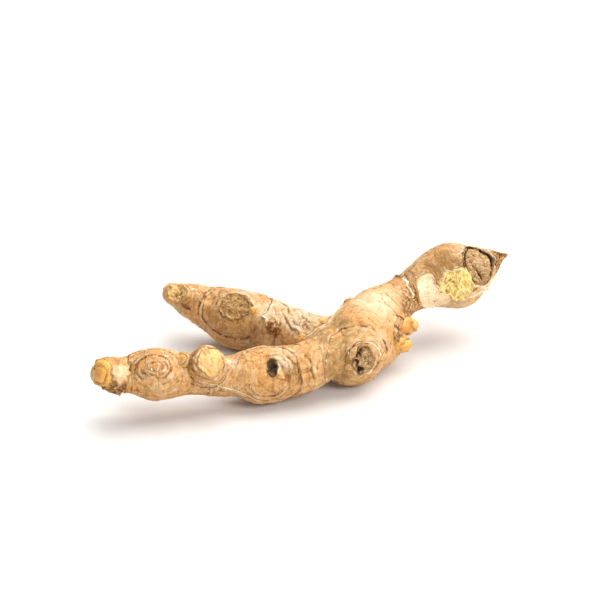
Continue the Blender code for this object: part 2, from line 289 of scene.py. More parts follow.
# The scars' own faces. lift is how far the face stands off the skin under it; dome its swelling;
# grain, fibre and furrow are (size, height); hollows are (across, up, radius, depth) from the middle.
SCAR_FACES = {
    "star_scab": dict(
        finish="scab plate", lift=0.95, dome=0.15, grain=(1.0, 0.16),
        hollows=((0.3, -0.4, 1.2, 0.25), (-1.6, 1.2, 0.7, 0.15))),
    "stump_face": dict(
        finish="healed cut", lift=0.35, dome=0.5, grain=(2.6, 0.22),
        hollows=(
            (0.6, -1.6, 0.9, 0.35), (0.2, 0.4, 0.7, 0.4), (1.3, -3.2, 0.8, 0.3), (-2.2, 1.9, 1.2, 0.25),
            (2.4, 2.2, 1.3, 0.2))),
    "stem_scar": dict(
        finish="dry stem scab", lift=0.35, dome=0.5, grain=(0.9, 0.28), fibre=(0.5, 0.3),
        hollows=(
            (-0.6, 4.6, 0.8, 1.3), (-1.5, 3.5, 0.9, 1.5), (-2.5, 2.2, 0.9, 1.3), (-3.0, 0.8, 0.7, 1.2),
            (-2.2, -0.5, 0.7, 1.3), (-2.8, -1.9, 0.7, 1.3), (-1.8, -3.0, 0.7, 1.6),
            (-1.5, -4.3, 0.9, 1.9), (-0.5, 1.9, 0.7, 1.0), (0.4, -3.6, 0.7, 1.0), (1.4, 0.6, 0.7, 0.7),
            (2.7, -1.6, 0.8, 0.8))),
    "head_stem_scar": dict(
        finish="dry stem scab", lift=0.5, dome=1.1, grain=(0.9, 0.34), furrow=(0.87, 0.06, 1.5),
        hollows=(
            (-4.2, 3.4, 0.9, 0.9), (-3.9, 1.4, 0.9, 1.3), (-3.3, -0.8, 0.9, 1.6),
            (-2.5, -2.8, 0.9, 1.8), (-1.5, -4.6, 1.0, 1.9), (-0.2, -6.2, 1.0, 1.6),
            (1.9, 3.0, 0.7, 0.8), (-0.9, 3.9, 0.7, 0.9))),
    "torn_flesh": dict(
        finish="torn ginger flesh", lift=0.6, dome=0.9, grain=(1.7, 0.9), fibre=(0.6, 0.5),
        hollows=(
            (-1.6, 1.2, 1.5, 2.6), (-3.4, -1.0, 1.3, 2.2), (0.2, -1.2, 1.0, 2.0), (2.6, 0.8, 0.9, 1.0),
            (-0.6, 4.0, 0.9, 0.8), (-4.6, 1.6, 1.1, 1.8), (-4.4, -3.8, 1.1, 1.6))),
    "peeled_patch": dict(
        finish="peeled ginger flesh", lift=0.28, dome=0.0, grain=(3.0, 0.14),
        hollows=(
            (0.6, -4.4, 0.5, 0.5), (1.5, -4.5, 0.4, 0.5), (1.0, -3.2, 0.3, 0.3), (-0.4, 1.6, 0.3, 0.3),
            (0.2, -0.2, 0.3, 0.3), (-3.8, 3.0, 0.3, 0.2))),
    "back_arm_scar": dict(
        finish="healed crust", lift=0.3, dome=0.6, grain=(1.3, 0.4), fibre=(0.7, 0.25),
        hollows=(
            (-4.4, 3.0, 1.2, 0.7), (-0.6, 3.6, 1.2, 0.6), (2.6, 1.0, 1.5, 0.6),
            (-2.2, -3.2, 1.0, 0.5))),
    "back_arm_end": dict(
        finish="healed cut", lift=0.45, dome=0.4, grain=(1.2, 0.5),
        hollows=(
            (-1.2, -1.4, 1.0, 1.2), (1.7, -0.4, 0.9, 0.9), (0.2, 1.4, 0.8, 0.7),
            (3.8, -1.8, 0.9, 1.0))),
    "back_stub_face": dict(
        finish="dry stem scab", lift=0.4, dome=0.7, grain=(1.1, 0.3), fibre=(0.6, 0.25),
        furrow=(0.86, 0.1, 0.6), hollows=((1.0, 1.0, 1.2, 0.6), (-2.2, -1.0, 1.0, 0.5))),
    "crater": dict(
        finish="dark hollow", lift=0.1, dome=-0.3, grain=(0.7, 0.22), hollows=((0.2, 0.6, 1.0, 0.6),)),
}

# Torn papery edges that stand off the skin: the line they follow, their height, how they lean (from
# -1 to 1, to the left or right of the line seen from outside), how ragged they are, and their finish.
FRINGES = {
    "neck_edge": dict(
        line=(
            (40.2, 20.6, 35.9), (41.4, 18.6, 35.2), (42.4, 15.9, 34.1), (43.4, 13.6, 31.4),
            (44.6, 11.8, 28.6)),
        height=1.7, lean=-0.7, ragged=0.4, finish="pale sheath paper"),
    "neck_edge_low": dict(
        line=((45.2, 17.6, 33.6), (46.6, 14.2, 30), (48, 12.8, 26.4), (49.4, 13.4, 23)), height=1.1,
        lean=-0.5, ragged=0.6, finish="brown sheath paper"),
    "neck_top_edge": dict(
        line=((36.6, 26.6, 35.6), (38.2, 23.6, 36.6), (39.8, 20.9, 36.4)), height=1.4, lean=-0.5,
        ragged=0.5, finish="brown sheath paper"),
    "head_scar_edge_left": dict(
        line=(
            (70.4, 27.4, 42), (69.4, 24.4, 39.6), (70.4, 22.2, 36.4), (73, 21.8, 33),
            (76.4, 22.9, 30.6)),
        height=1.2, lean=0.4, ragged=0.6, finish="brown sheath paper"),
    "head_scar_edge_top": dict(
        line=((71.4, 29.4, 43), (74.6, 32.9, 43.3), (78.4, 36.6, 42.2), (81.6, 37.6, 40)), height=1.1,
        lean=0.4, ragged=0.6, finish="pale sheath paper"),
    "head_scar_edge_right": dict(
        line=((82, 37.2, 39.6), (84, 34.4, 36.8), (83.6, 31.6, 34), (81, 28, 31.6), (78, 24.8, 30.3)),
        height=1.3, lean=0.4, ragged=0.5, finish="brown sheath paper"),
    "head_top_shreds": dict(
        line=((65.6, 27.5, 43.6), (70.4, 31.4, 44), (75.8, 35.6, 43.4), (80, 38.2, 41.6)), height=0.9,
        lean=0.6, ragged=0.8, finish="pale sheath paper"),
    "head_tear_flap": dict(
        line=((70.6, 21.4, 24.6), (75.4, 23.4, 26), (80, 27.2, 27.8), (83.4, 31, 29.6), (85, 34, 31)),
        height=2.0, lean=0.8, ragged=0.5, finish="pale sheath paper"),
    "tip_edge": dict(
        line=((83, 37.4, 40.4), (86.2, 39, 39.4), (89, 40.4, 38.6), (91, 41.2, 37.8)), height=0.9,
        lean=0.5, ragged=0.8, finish="brown sheath paper"),
    "torn_flesh_edge": dict(
        line=(
            (60.6, 21.8, 31), (61.8, 22.2, 34.6), (64.8, 22.6, 37.4), (68.6, 23.2, 37.6),
            (71, 22.4, 35)),
        height=1.0, lean=0.5, ragged=0.3, finish="pale sheath paper"),
    "crotch_edge": dict(
        line=((-8, -13.9, 22.2), (-2, -15.9, 23), (2.6, -15.6, 24.4), (6.6, -12.8, 27.6)), height=0.9,
        lean=-0.6, ragged=0.4, finish="pale sheath paper"),
    "shoulder_paper": dict(
        line=((4.4, -14.8, 28.4), (6.6, -10, 29.6), (9.6, -4.6, 30.8), (13, -0.6, 31.8)), height=0.8,
        lean=0.6, ragged=0.4, finish="pale sheath paper"),
    "low_sheath_paper": dict(
        line=(
            (-46, -46.4, 18.6), (-40.4, -44.4, 15.2), (-33, -42.4, 11.6), (-27, -41.1, 8.7),
            (-21.6, -40, 5.7)),
        height=0.8, lean=-0.8, ragged=0.3, finish="pale sheath paper"),
    "bracket_paper": dict(
        line=((-11.6, -32.4, 23.7), (-8.8, -34.8, 22.6), (-5.2, -37.2, 19.8), (-5.4, -38.4, 15)),
        height=0.9, lean=0.7, ragged=0.5, finish="brown sheath paper"),
    "scar_rim_right": dict(
        line=(
            (17.6, -24.6, 24.4), (21.6, -23.8, 25.3), (25.4, -22.9, 23.6), (28.4, -22.4, 19.8),
            (29, -23, 15.4)),
        height=0.9, lean=-0.5, ragged=0.4, finish="pale sheath paper"),
    "arc_flap": dict(
        line=((-22.8, 1.6, 27.4), (-21.6, -0.6, 26.6), (-20.9, -2.4, 24.8)), height=1.5, lean=0.7,
        ragged=0.4, finish="pale sheath paper"),
    "bud_paper_high": dict(
        line=((34.6, 0, 26.4), (37.6, 2.2, 24), (40.2, 3.4, 22.2)), height=1.2, lean=0.4, ragged=0.7,
        finish="brown sheath paper"),
    "bud_paper_low": dict(
        line=((31.6, -7.4, 19.6), (34.4, -5.6, 18.6), (37.2, -3.2, 17.4), (39.6, -0.6, 16.4)),
        height=1.8, lean=0.4, ragged=0.9, finish="brown sheath paper"),
    "arm_end_crumple": dict(
        line=((-86.4, -47.6, 18.8), (-83.4, -49.6, 18.6), (-80.4, -50, 17.4), (-77.4, -49.8, 17)),
        height=1.3, lean=0.5, ragged=0.9, finish="brown sheath paper"),
    "arm_end_crumple_low": dict(
        line=((-85.6, -46.8, 16.6), (-82.4, -48, 15.9), (-79.4, -48.4, 15)), height=1.1, lean=0.4,
        ragged=0.9, finish="brown sheath paper"),
    "back_side_paper": dict(
        line=((45, 32.4, 31), (43.6, 32.6, 26), (43.4, 31.2, 21)), height=1.3, lean=0.6, ragged=0.6,
        finish="pale sheath paper"),
}

# Places where the skin's tone departs from the rest: middle, reach, and how much browner, greyer,
# paler or yellower it is there. The paler places are partly dry cream skin and partly painted
# highlight on the tops of the body and arms. The olive places are partly the skin's own tint and
# partly painted shade on the head's top, the body's front and the back arm's lower front.
TONES = (
    dict(at=(45, 12, 27), reach=9.5, brown=1.1),
    dict(at=(46, 16, 22), reach=8, brown=0.9),
    dict(at=(41, 20, 36), reach=5, brown=0.35),
    dict(at=(58, 24, 42), reach=17, olive=1.0),
    dict(at=(74, 32, 44), reach=9, olive=0.7),
    dict(at=(50, 22, 37), reach=11, olive=1.0, brown=0.35),
    dict(at=(89, 41, 38), reach=9, brown=1.7, olive=0.6),
    dict(at=(-16.6, -5, 22.4), reach=4.5, brown=2.0),
    dict(at=(-3, -8, 25.5), reach=4.5, brown=1.0),
    dict(at=(20, -24, 10), reach=12, yellow=0.3),
    dict(at=(69, 23, 37), reach=8, brown=0.6),
    dict(at=(66, 22, 20), reach=10, pale=0.5),
    dict(at=(80, 28, 27), reach=6, pale=0.6),
    dict(at=(28, -4, 34), reach=13, pale=0.75),
    dict(at=(36, 8, 32), reach=8, pale=0.4),
    dict(at=(28, -19, 24), reach=6, pale=0.5),
    dict(at=(8, -20, 27), reach=12, olive=1.1),
    dict(at=(12, -28, 17), reach=11, olive=1.1, brown=0.3),
    dict(at=(20, -30, 9), reach=9, olive=0.5),
    dict(at=(-40, 8, 14), reach=11, olive=0.8, brown=0.2),
    dict(at=(-30, 3, 12), reach=10, olive=0.7, brown=0.25),
    dict(at=(-4, -5, 26), reach=9, pale=0.8),
    dict(at=(-16, 6, 27), reach=11, pale=0.8),
    dict(at=(-30, 19, 28), reach=9, pale=0.55),
    dict(at=(-14, -3, 24), reach=5, pale=0.5),
    dict(at=(-34, -36, 22), reach=4.5, pale=0.9),
    dict(at=(-37.6, -37.4, 20.6), reach=3.2, brown=0.9),
    dict(at=(-12, -33, 24), reach=8, pale=0.45),
    dict(at=(-22, -40, 18), reach=9, yellow=0.35),
    dict(at=(-9, -37.6, 16), reach=4, brown=0.4),
    dict(at=(-45, -44, 10), reach=8, brown=0.25),
    dict(at=(-81, -49.4, 18.2), reach=4.8, brown=1.3),
    dict(at=(-74.6, -48.6, 25.6), reach=2.8, brown=1.4),
    dict(at=(-83.4, -51, 21), reach=2.4, brown=1.4),
    dict(at=(-86, -47, 24), reach=7.5, yellow=1.2),
    dict(at=(-76, -48, 25), reach=4, yellow=0.35),
    dict(at=(-48, 18, 22), reach=7, yellow=0.5),
    dict(at=(-58, 20, 22), reach=6, brown=0.3),
    dict(at=(-64, 24, 24), reach=5, yellow=0.5),
    dict(at=(37, -4, 20), reach=5, brown=0.8),
    dict(at=(36, -8, 16), reach=6, yellow=0.4, brown=0.25),
    dict(at=(36, 2, 22), reach=5, brown=0.5),
    dict(at=(-16, -12, 16), reach=7, brown=0.3),
)


# ---------------------------------------------------------------- numbers


def linear(colour):
    """A Blender colour from sRGB hex such as "C8A56B"; a sidebar colour is one already."""
    if not isinstance(colour, str):
        return tuple(colour)
    channels = [int(colour[i:i + 2], 16) / 255 for i in (0, 2, 4)]
    return tuple(c / 12.92 if c <= 0.04045 else ((c + 0.055) / 1.055) ** 2.4 for c in channels) + (1.0,)


def corner_numbers(x, y, z, seed):
    """A fixed random number from 0 to 1 for each whole-number corner."""
    h = (x * 73856093) ^ (y * 19349663) ^ (z * 83492791) ^ (seed * 97531 + 12345)
    h = (h ^ (h >> 15)) & 0xFFFFFFFF
    h = (h * 2246822519) & 0xFFFFFFFF
    h ^= h >> 13
    h = (h * 3266489917) & 0xFFFFFFFF
    h ^= h >> 16
    return h / 4294967295.0


def noise(points, size, seed=0, octaves=1):
    """Smooth noise from about -1 to 1, with bumps this size; each further octave is half as big."""
    total, share, whole = np.zeros(len(points)), 1.0, 0.0
    for octave in range(octaves):
        place = points * (2 ** octave / size) + seed * 7.31 + octave * 19.7
        corner = np.floor(place).astype(np.int64)
        f = place - corner
        f = f * f * f * (f * (f * 6 - 15) + 10)
        value = np.zeros(len(points))
        for dx in (0, 1):
            for dy in (0, 1):
                for dz in (0, 1):
                    weight = (f[:, 0] if dx else 1 - f[:, 0]) * (f[:, 1] if dy else 1 - f[:, 1])
                    weight = weight * (f[:, 2] if dz else 1 - f[:, 2])
                    value += weight * corner_numbers(
                        corner[:, 0] + dx, corner[:, 1] + dy, corner[:, 2] + dz, seed)
        total += share * (2 * value - 1)
        whole += share
        share *= 0.5
    return total / whole * 1.6


def cells(points, size, seed=0):
    """Distance to the nearest of scattered seeds, 0 at a seed to about 1 between them."""
    place = points / size
    corner = np.floor(place).astype(np.int64)
    best = np.full(len(points), 9.0)
    for dx in (-1, 0, 1):
        for dy in (-1, 0, 1):
            for dz in (-1, 0, 1):
                c = corner + (dx, dy, dz)
                spot = np.stack([corner_numbers(c[:, 0], c[:, 1], c[:, 2], seed + k) for k in range(3)], 1)
                best = np.minimum(best, np.linalg.norm(c + spot - place, axis=1))
    return best


def smooth_step(low, high, value):
    t = np.clip((value - low) / (high - low), 0, 1)
    return t * t * (3 - 2 * t)


def bell(distance, width):
    return np.exp(-(distance / width) ** 2)


def away_from(points, place):
    """How far each point is from this place."""
    return np.linalg.norm(points - np.array(place, float), axis=1)


def unit(vectors):
    vectors = np.asarray(vectors, float)
    return vectors / np.linalg.norm(vectors, axis=-1, keepdims=True)


def smooth_path(knots, steps):
    """Points of a smooth curve through the knots, with this many steps from each knot to the next."""
    knots = np.asarray(knots, float)
    knots = np.vstack([2 * knots[0] - knots[1], knots, 2 * knots[-1] - knots[-2]])
    path = []
    for a, b, c, d in zip(knots, knots[1:], knots[2:], knots[3:]):
        for t in np.arange(steps) / steps:
            path.append(0.5 * (2 * b + (c - a) * t + (2 * a - 5 * b + 4 * c - d) * t * t
                               + (3 * b - a - 3 * c + d) * t ** 3))
    return np.array(path + [knots[-2]])


def face_axes(out):
    """Across, up and out of a face that looks this way; across is level unless it looks straight up."""
    out = unit(out)
    across = np.cross((0.0, 0.0, 1.0), out)
    across = unit(across) if np.linalg.norm(across) > 0.1 else np.array((1.0, 0.0, 0.0))
    return across, np.cross(out, across), out


# ---------------------------------------------------------------- the skin's fields


class Skin:
    """The skin's points while it is worked, and where each one lies on its limb."""

    def __init__(self, points, normals):
        self.points, self.normals = points, normals
        count = len(points)
        self.limb = np.zeros(count, int)
        self.along = np.zeros(count)
        self.cross = np.zeros((count, 2))
        nearest = np.full(count, 1e9)
        for index, swellings in enumerate(LIMBS.values()):
            self._measure(index, smooth_path(swellings, STEPS_PER_SWELLING), nearest)
        self.relief = np.zeros(count)
        self.brown = np.zeros(count)
        self.stain = np.zeros(count)
        self.ring_field = self.along.copy()
        self.kept = np.ones(count)
        for x, y, z, reach in WORN:
            away = away_from(points, (x, y, z)) + 1.5 * noise(points, 4, 15)
            self.kept *= smooth_step(0.5 * reach, 1.1 * reach, away)
        self.ring_gap = np.full(count, 9.0)
        self.ring_strength = np.zeros(count)
        self.tones = {tone: np.zeros(count) for tone in ("brown", "olive", "pale", "yellow")}

    def _measure(self, index, path, nearest):
        """Gives the points nearest to this limb their way along it and across it."""
        centres, radii = path[:, :3], path[:, 3]
        steps = np.diff(centres, axis=0)
        way = np.concatenate([[0], np.cumsum(np.linalg.norm(steps, axis=1))])
        tangents = unit(np.gradient(centres, axis=0))
        side = unit(np.cross(tangents[0], (0.0, 0.0, 1.0)))
        sides = []
        for tangent in tangents:
            side = unit(side - tangent * (side @ tangent))
            sides.append(side)
        sides = np.array(sides)
        tops = np.cross(sides, tangents)
        chunk = 20000
        for start in range(0, len(self.points), chunk):
            part = slice(start, start + chunk)
            gap = self.points[part, None] - centres[None]
            distance = np.linalg.norm(gap, axis=2)
            best = distance.argmin(1)
            rows = np.arange(len(best))
            depth = distance[rows, best] - radii[best]
            offset = gap[rows, best]
            closer = depth < nearest[part]
            nearest[part] = np.where(closer, depth, nearest[part])
            along = way[best] + (offset * tangents[best]).sum(1)
            cross = np.stack([(offset * sides[best]).sum(1), (offset * tops[best]).sum(1)], 1)
            self.limb[part] = np.where(closer, index, self.limb[part])
            self.along[part] = np.where(closer, along, self.along[part])
            self.cross[part] = np.where(closer[:, None], cross, self.cross[part])

    def on_limbs(self, names):
        return np.isin(self.limb, [LIMB_NAMES.index(name) for name in names])

    def lay(self, height):
        """Raises the points along their normals by this many millimetres."""
        self.points = self.points + self.normals * height[:, None]


def ring_field(skin, family):
    if "pole" in family:
        offset = skin.points - np.array(family["pole"], float)
        offset[:, 0] *= family.get("stretch", 1.0)
        return np.linalg.norm(offset, axis=1)
    if "axis" in family:
        return skin.points @ np.array(family["axis"], float)
    return skin.along.copy()


def add_rings(skin, depth):
    """Growth rings: a brown groove where a sheath leaf ended, with the sheath's edge standing beside it."""
    for index, family in enumerate(RINGS):
        field = ring_field(skin, family)
        sheath_side = 1.0 if "pole" in family else -1.0
        low, high = family["span"]
        inside = skin.on_limbs(family["limbs"]) * smooth_step(low - 1, low + 2, skin.along)
        inside = inside * (1 - smooth_step(high - 2, high + 1, skin.along))
        if "reach" in family:
            inside = inside * (1 - smooth_step(family["reach"] * 1.1, family["reach"] * 1.5, field))
        inside = inside * (0.12 + 0.88 * skin.kept)
        field = field + 1.3 * noise(skin.points, 11, 20 + index) + 0.32 * noise(skin.points, 3.2, 40 + index)
        skin.ring_field = np.where(inside > 0.5, field, skin.ring_field)
        for number, (value, strength) in enumerate(zip(family["values"], family["strength"])):
            near = np.flatnonzero((inside > 0.02) & (np.abs(field - value) < 7))
            gap = sheath_side * (field[near] - value)
            gaps = noise(skin.points[near], 5.5, 60 + 7 * index + number, 2)
            broken = np.clip(0.32 + 0.38 * strength + 0.8 * gaps, 0.04, 1)
            here = strength * inside[near] * broken
            ridge = 0.30 * bell(gap - 0.62, 0.5) + 0.18 * np.exp(-np.clip(gap, 0, 9) / 1.8) * (gap > 0)
            skin.relief[near] += depth * here * (ridge - 0.42 * bell(gap, 0.42))
            nearer = np.abs(gap) < np.abs(skin.ring_gap[near])
            skin.ring_gap[near] = np.where(nearer, gap, skin.ring_gap[near])
            skin.ring_strength[near] = np.where(nearer, here, skin.ring_strength[near])


def add_splits(skin, depth):
    """Splits, folds and torn edges along their own lines."""
    for index, split in enumerate(SPLITS.values()):
        path = smooth_path(split["line"], 8)
        tangents = unit(np.gradient(path, axis=0))
        near = np.flatnonzero((np.abs(skin.points - path.mean(0)) < np.ptp(path, axis=0) / 2 + 5).all(1))
        gap = skin.points[near, None] - path[None]
        distance = np.linalg.norm(gap, axis=2)
        best = distance.argmin(1)
        offset = gap[np.arange(len(near)), best]
        sides = np.cross(tangents[best], skin.normals[near])
        side = (offset * sides).sum(1)
        share = best / (len(path) - 1)
        end_fade = smooth_step(0, 0.14, share) * smooth_step(0, 0.14, 1 - share)
        wobble = 0.3 * noise(skin.points[near], 2.2, 100 + index)
        width = split["width"] * (0.6 + 0.5 * end_fade)
        away = distance[np.arange(len(near)), best] + np.abs(wobble) * 0.5
        here = end_fade * np.clip(0.75 + 0.5 * noise(skin.points[near], 2.5, 120 + index), 0.25, 1)
        skin.relief[near] -= depth * here * split["depth"] * bell(away, width)
        lip = split["lip"] * bell(side - 1.5 * width, width)
        skin.relief[near] += depth * here * lip * (distance.min(1) < 4)
        skin.brown[near] = np.maximum(skin.brown[near], here * split["brown"] * bell(away, width * 0.9))


def short_way(angle):
    """The same angle, between half a turn back and half a turn on."""
    return np.angle(np.exp(1j * angle))


def scar_reach(name, scar, angle):
    """How far the scar's outline is from its middle at this angle, in millimetres."""
    wide, tall = scar["half"]
    reach = 1 / np.sqrt((np.cos(angle) / wide) ** 2 + (np.sin(angle) / tall) ** 2)
    if name == "star_scab":
        return reach * (0.92 + 0.12 * np.cos(8 * angle + 0.6) + 0.05 * np.sin(3 * angle))
    if name == "peeled_patch":
        corners = np.array(PATCH_OUTLINE, float)
        turns = np.arctan2(corners[:, 1], corners[:, 0])
        order = np.argsort(turns)
        turns, far = turns[order], np.linalg.norm(corners[order], axis=1)
        return np.interp(angle, turns, far, period=2 * math.pi)
    if name == "stem_scar":
        return reach * (1 - 0.3 * bell(short_way(angle - 2.4), 0.6) - 0.2 * bell(short_way(angle + 2.5), 0.5)
                        + 0.06 * np.cos(3 * angle + 1) + 0.045 * np.cos(7 * angle)
                        + 0.03 * np.cos(11 * angle))
    if name == "head_stem_scar":
        return reach * (1 - 0.13 * bell(short_way(angle - 2.6), 0.5) + 0.03 * np.cos(5 * angle))
    rough = 0.07 * np.cos(3 * angle + len(name)) + 0.05 * np.cos(5 * angle + 2 * len(name))
    return reach * (1 + rough + 0.03 * np.cos(11 * angle) + 0.02 * np.cos(17 * angle + 1))


def add_scars(skin):
    """Raises each scar's rim, stains the skin round about and returns how deep the skin is cut under it."""
    bed = []
    for name, scar in SCARS.items():
        across, up, out = face_axes(scar["out"])
        offset = skin.points - np.array(scar["at"], float)
        u, v, w = offset @ across, offset @ up, offset @ out
        angle = np.arctan2(v, u)
        ratio = np.hypot(u, v) / scar_reach(name, scar, angle)
        size = sum(scar["half"]) / 2
        front = (np.abs(w) < size * 0.9) * (skin.normals @ out > -0.1)
        edge = (ratio - 1) * size
        under = FACE_BED * (name != "star_scab") + scar["sink"]
        bed.append(front * under * (1 - smooth_step(-0.9, 0.2, edge)))
        rough = np.clip(0.8 + 0.8 * noise(skin.points, 1.6, len(name)), 0, 1.6)
        turn = 0.55 + 0.6 * np.cos(angle - 0.9 + len(name)) + 0.4 * noise(skin.points, 4, 77)
        skin.relief += front * scar["rim"] * rough * np.clip(turn, 0, 1.3) * bell(edge - 0.7, 0.6)
        faded = 1 - smooth_step(-0.2, 2.2, edge + noise(skin.points, 2, 5))
        skin.stain = np.maximum(skin.stain, front * scar["stain"] * faded)
    return np.max(bed, axis=0)


def add_wrinkles(skin, depth):
    """Lengthwise shrinkage wrinkles, finer ones beside the rings, and pores."""
    lengthwise = np.column_stack([skin.along / 7, skin.cross])
    drift = skin.points @ (0.11, 0.07, 0.09)
    ringwise = np.column_stack([skin.ring_field, drift, np.zeros(len(drift))])
    shrunk = np.clip(0.6 + 0.7 * noise(skin.points, 14, 3), 0.15, 1.2)
    shrunk = shrunk * (0.3 + 0.7 * skin.kept)
    skin.relief += depth * 0.13 * noise(lengthwise, 1.5, 4, 2) * shrunk
    skin.relief += depth * 0.08 * noise(ringwise, 1.3, 6, 2) * np.clip(1.3 - shrunk, 0.2, 1)
    skin.relief += 0.12 * noise(skin.points, 3.2, 7, 2) * depth
    skin.relief += 0.06 * noise(skin.points, 1.3, 10) * depth
    pores = 1 - smooth_step(0.10, 0.24, cells(skin.points, 3.4, 8))
    skin.relief -= depth * 0.12 * pores * (noise(skin.points, 9, 9) > 0.0)
    skin.brown = np.maximum(skin.brown, 0.6 * pores * (noise(skin.points, 9, 9) > 0.1))


def add_collars(skin):
    """Swells the skin round the foot of each bud, with a groove where the bud comes through."""
    for index, bud in enumerate(BUDS.values()):
        away = away_from(skin.points, bud["at"]) / bud["radius"]
        away = away + 0.12 * noise(skin.points, bud["radius"], 160 + index)
        skin.relief += 0.12 * bud["radius"] * bell(away - 1.35, 0.3) - 0.12 * bell(away - 1.12, 0.15)
        skin.relief += 0.04 * bud["radius"] * bell(away - 2.0, 0.22)
        skin.brown = np.maximum(skin.brown, 0.55 * bell(away - 1.2, 0.12))
        skin.brown = np.maximum(skin.brown, 0.3 * bell(away - 1.85, 0.1))


def add_tones(skin):
    for index, spot in enumerate(TONES):
        reach = spot["reach"]
        away = away_from(skin.points, spot["at"])
        away = away + 0.18 * reach * noise(skin.points, reach * 0.6, 200 + index, 2)
        here = 1 - smooth_step(0.45 * reach, 1.15 * reach, away)
        for tone, field in skin.tones.items():
            np.maximum(field, here * spot.get(tone, 0.0), out=field)


# ---------------------------------------------------------------- meshes


def finished(name, data):
    """A visible piece that rides on the root, with its place in its mesh."""
    piece = bpy.data.objects.new(name, data)
    bpy.context.scene.collection.objects.link(piece)
    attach(piece, "root")
    return piece


def coordinates(data):
    """A mesh's points in millimetres."""
    points = np.zeros(len(data.vertices) * 3)
    data.vertices.foreach_get("co", points)
    return points.reshape(-1, 3) / MM


def set_coordinates(data, points):
    data.vertices.foreach_set("co", (points * MM).ravel())
    data.update()


def point_normals(data):
    normals = np.zeros(len(data.vertices) * 3)
    data.vertex_normals.foreach_get("vector", normals)
    return normals.reshape(-1, 3)


def keep_field(data, name, values):
    """Stores one number for each point under this name, for a material to read."""
    field = data.attributes.new(name, "FLOAT", "POINT")
    field.data.foreach_set("value", np.asarray(values, np.float32))


def kept_field(data, name):
    """The numbers that keep_field stored under this name."""
    values = np.zeros(len(data.vertices))
    data.attributes[name].data.foreach_get("value", values)
    return values


def keep_vectors(data, name, vectors):
    field = data.attributes.new(name, "FLOAT_VECTOR", "POINT")
    field.data.foreach_set("vector", np.asarray(vectors, np.float32).ravel())


def mesh_of(name, points, faces, fields=None, material=None):
    """A smooth-shaded mesh from points in millimetres and faces, with fields for its material."""
    data = bpy.data.meshes.new(name)
    data.from_pydata((np.asarray(points) * MM).tolist(), [], faces)
    for field, values in (fields or {}).items():
        keep_field(data, field, values)
    shape = bmesh.new()
    shape.from_mesh(data)
    bmesh.ops.recalc_face_normals(shape, faces=shape.faces)
    shape.to_mesh(data)
    shape.free()
    data.shade_smooth()
    if material:
        data.materials.append(material)
    return data


def bands(rows, count, first=0, closed=False):
    """Faces between rows of count points, all round each row; closed also joins the last row to the first."""
    faces = []
    for row in range(rows if closed else rows - 1):
        here, after = first + row * count, first + (row + 1) % rows * count
        for i in range(count):
            following = (i + 1) % count
            faces.append((here + i, here + following, after + following, after + i))
    return faces


def evaluated_mesh(piece):
    """The piece's mesh with its modifiers applied, as a plain mesh."""
    graph = bpy.context.evaluated_depsgraph_get()
    return bpy.data.meshes.new_from_object(piece.evaluated_get(graph))


def surface_tree():
    """The finished skin, for laying the other pieces on."""
    data = bpy.data.objects["skin"].data
    faces = [tuple(face.vertices) for face in data.polygons]
    return BVHTree.FromPolygons(coordinates(data).tolist(), faces)


def laid(tree, point, out, lift=9.0):
    """Where a point comes to rest on the skin when it is pushed in from outside, and the skin's normal."""
    start = Vector(point) + Vector(out) * lift
    place, normal, _, _ = tree.ray_cast(start, -Vector(out), 3 * lift)
    if place is None:
        place, normal, _, _ = tree.find_nearest(Vector(point))
    return np.array(place), np.array(normal)


# ---------------------------------------------------------------- materials


def add_node(tree, kind, settings=None, inputs=None):
    """Adds one node: its own settings, then its inputs by name or number, each a value or a link."""
    node = tree.nodes.new(kind)
    for name, value in (settings or {}).items():
        setattr(node, name, value)
    for key, value in (inputs or {}).items():
        socket = node.inputs[key] if isinstance(key, int) else next(
            s for s in node.inputs if s.name == key and s.enabled)
        if isinstance(value, bpy.types.NodeSocket):
            tree.links.new(value, socket)
        else:
            socket.default_value = value
    return node


def layer_mask(tree, places, layer):
    """How much of a layer shows at each point: a pattern or a kept field, stretched from low to high."""
    low, high = layer.get("between", (0.0, 1.0))
    kind = layer.get("kind", "noise")
    if kind == "field":
        value = add_node(tree, "ShaderNodeAttribute", {"attribute_name": layer["field"]}).outputs["Fac"]
    elif kind == "noise":
        value = add_node(tree, "ShaderNodeTexNoise", None, {
            "Vector": places[layer.get("on", "place")], "Scale": 1 / layer["size"],
            "Detail": layer.get("detail", 3.0), "Roughness": 0.55,
            "Distortion": layer.get("swirl", 0.0)}).outputs["Fac"]
    else:
        value = add_node(tree, "ShaderNodeTexVoronoi", {"feature": kind}, {
            "Vector": places[layer.get("on", "place")], "Scale": 1 / layer["size"]}).outputs["Distance"]
    mask = add_node(tree, "ShaderNodeMapRange", {"interpolation_type": "SMOOTHSTEP"}, {
        "Value": value, "From Min": min(low, high), "From Max": max(low, high),
        "To Min": 0.0 if low < high else layer.get("amount", 1.0),
        "To Max": layer.get("amount", 1.0) if low < high else 0.0}).outputs["Result"]
    for field in layer.get("within", ()):
        share = add_node(tree, "ShaderNodeAttribute", {"attribute_name": field}).outputs["Fac"]
        mask = add_node(tree, "ShaderNodeMath", {"operation": "MULTIPLY", "use_clamp": True},
                        {0: mask, 1: share}).outputs[0]
    if "broken" in layer:
        gaps = add_node(tree, "ShaderNodeTexNoise", None, {
            "Vector": places["place"], "Scale": 1 / layer["broken"], "Detail": 2.0}).outputs["Fac"]
        gaps = add_node(tree, "ShaderNodeMapRange", None, {
            "Value": gaps, "From Min": 0.36, "From Max": 0.6}).outputs["Result"]
        mask = add_node(tree, "ShaderNodeMath", {"operation": "MULTIPLY"}, {0: mask, 1: gaps}).outputs[0]
    return mask


def patch(size, absent, full, colour, amount, **more):
    """A colour layer in patches this big: absent at one value of their pattern, full at the other."""
    return dict(size=size, between=(absent, full), colour=colour, amount=amount, **more)


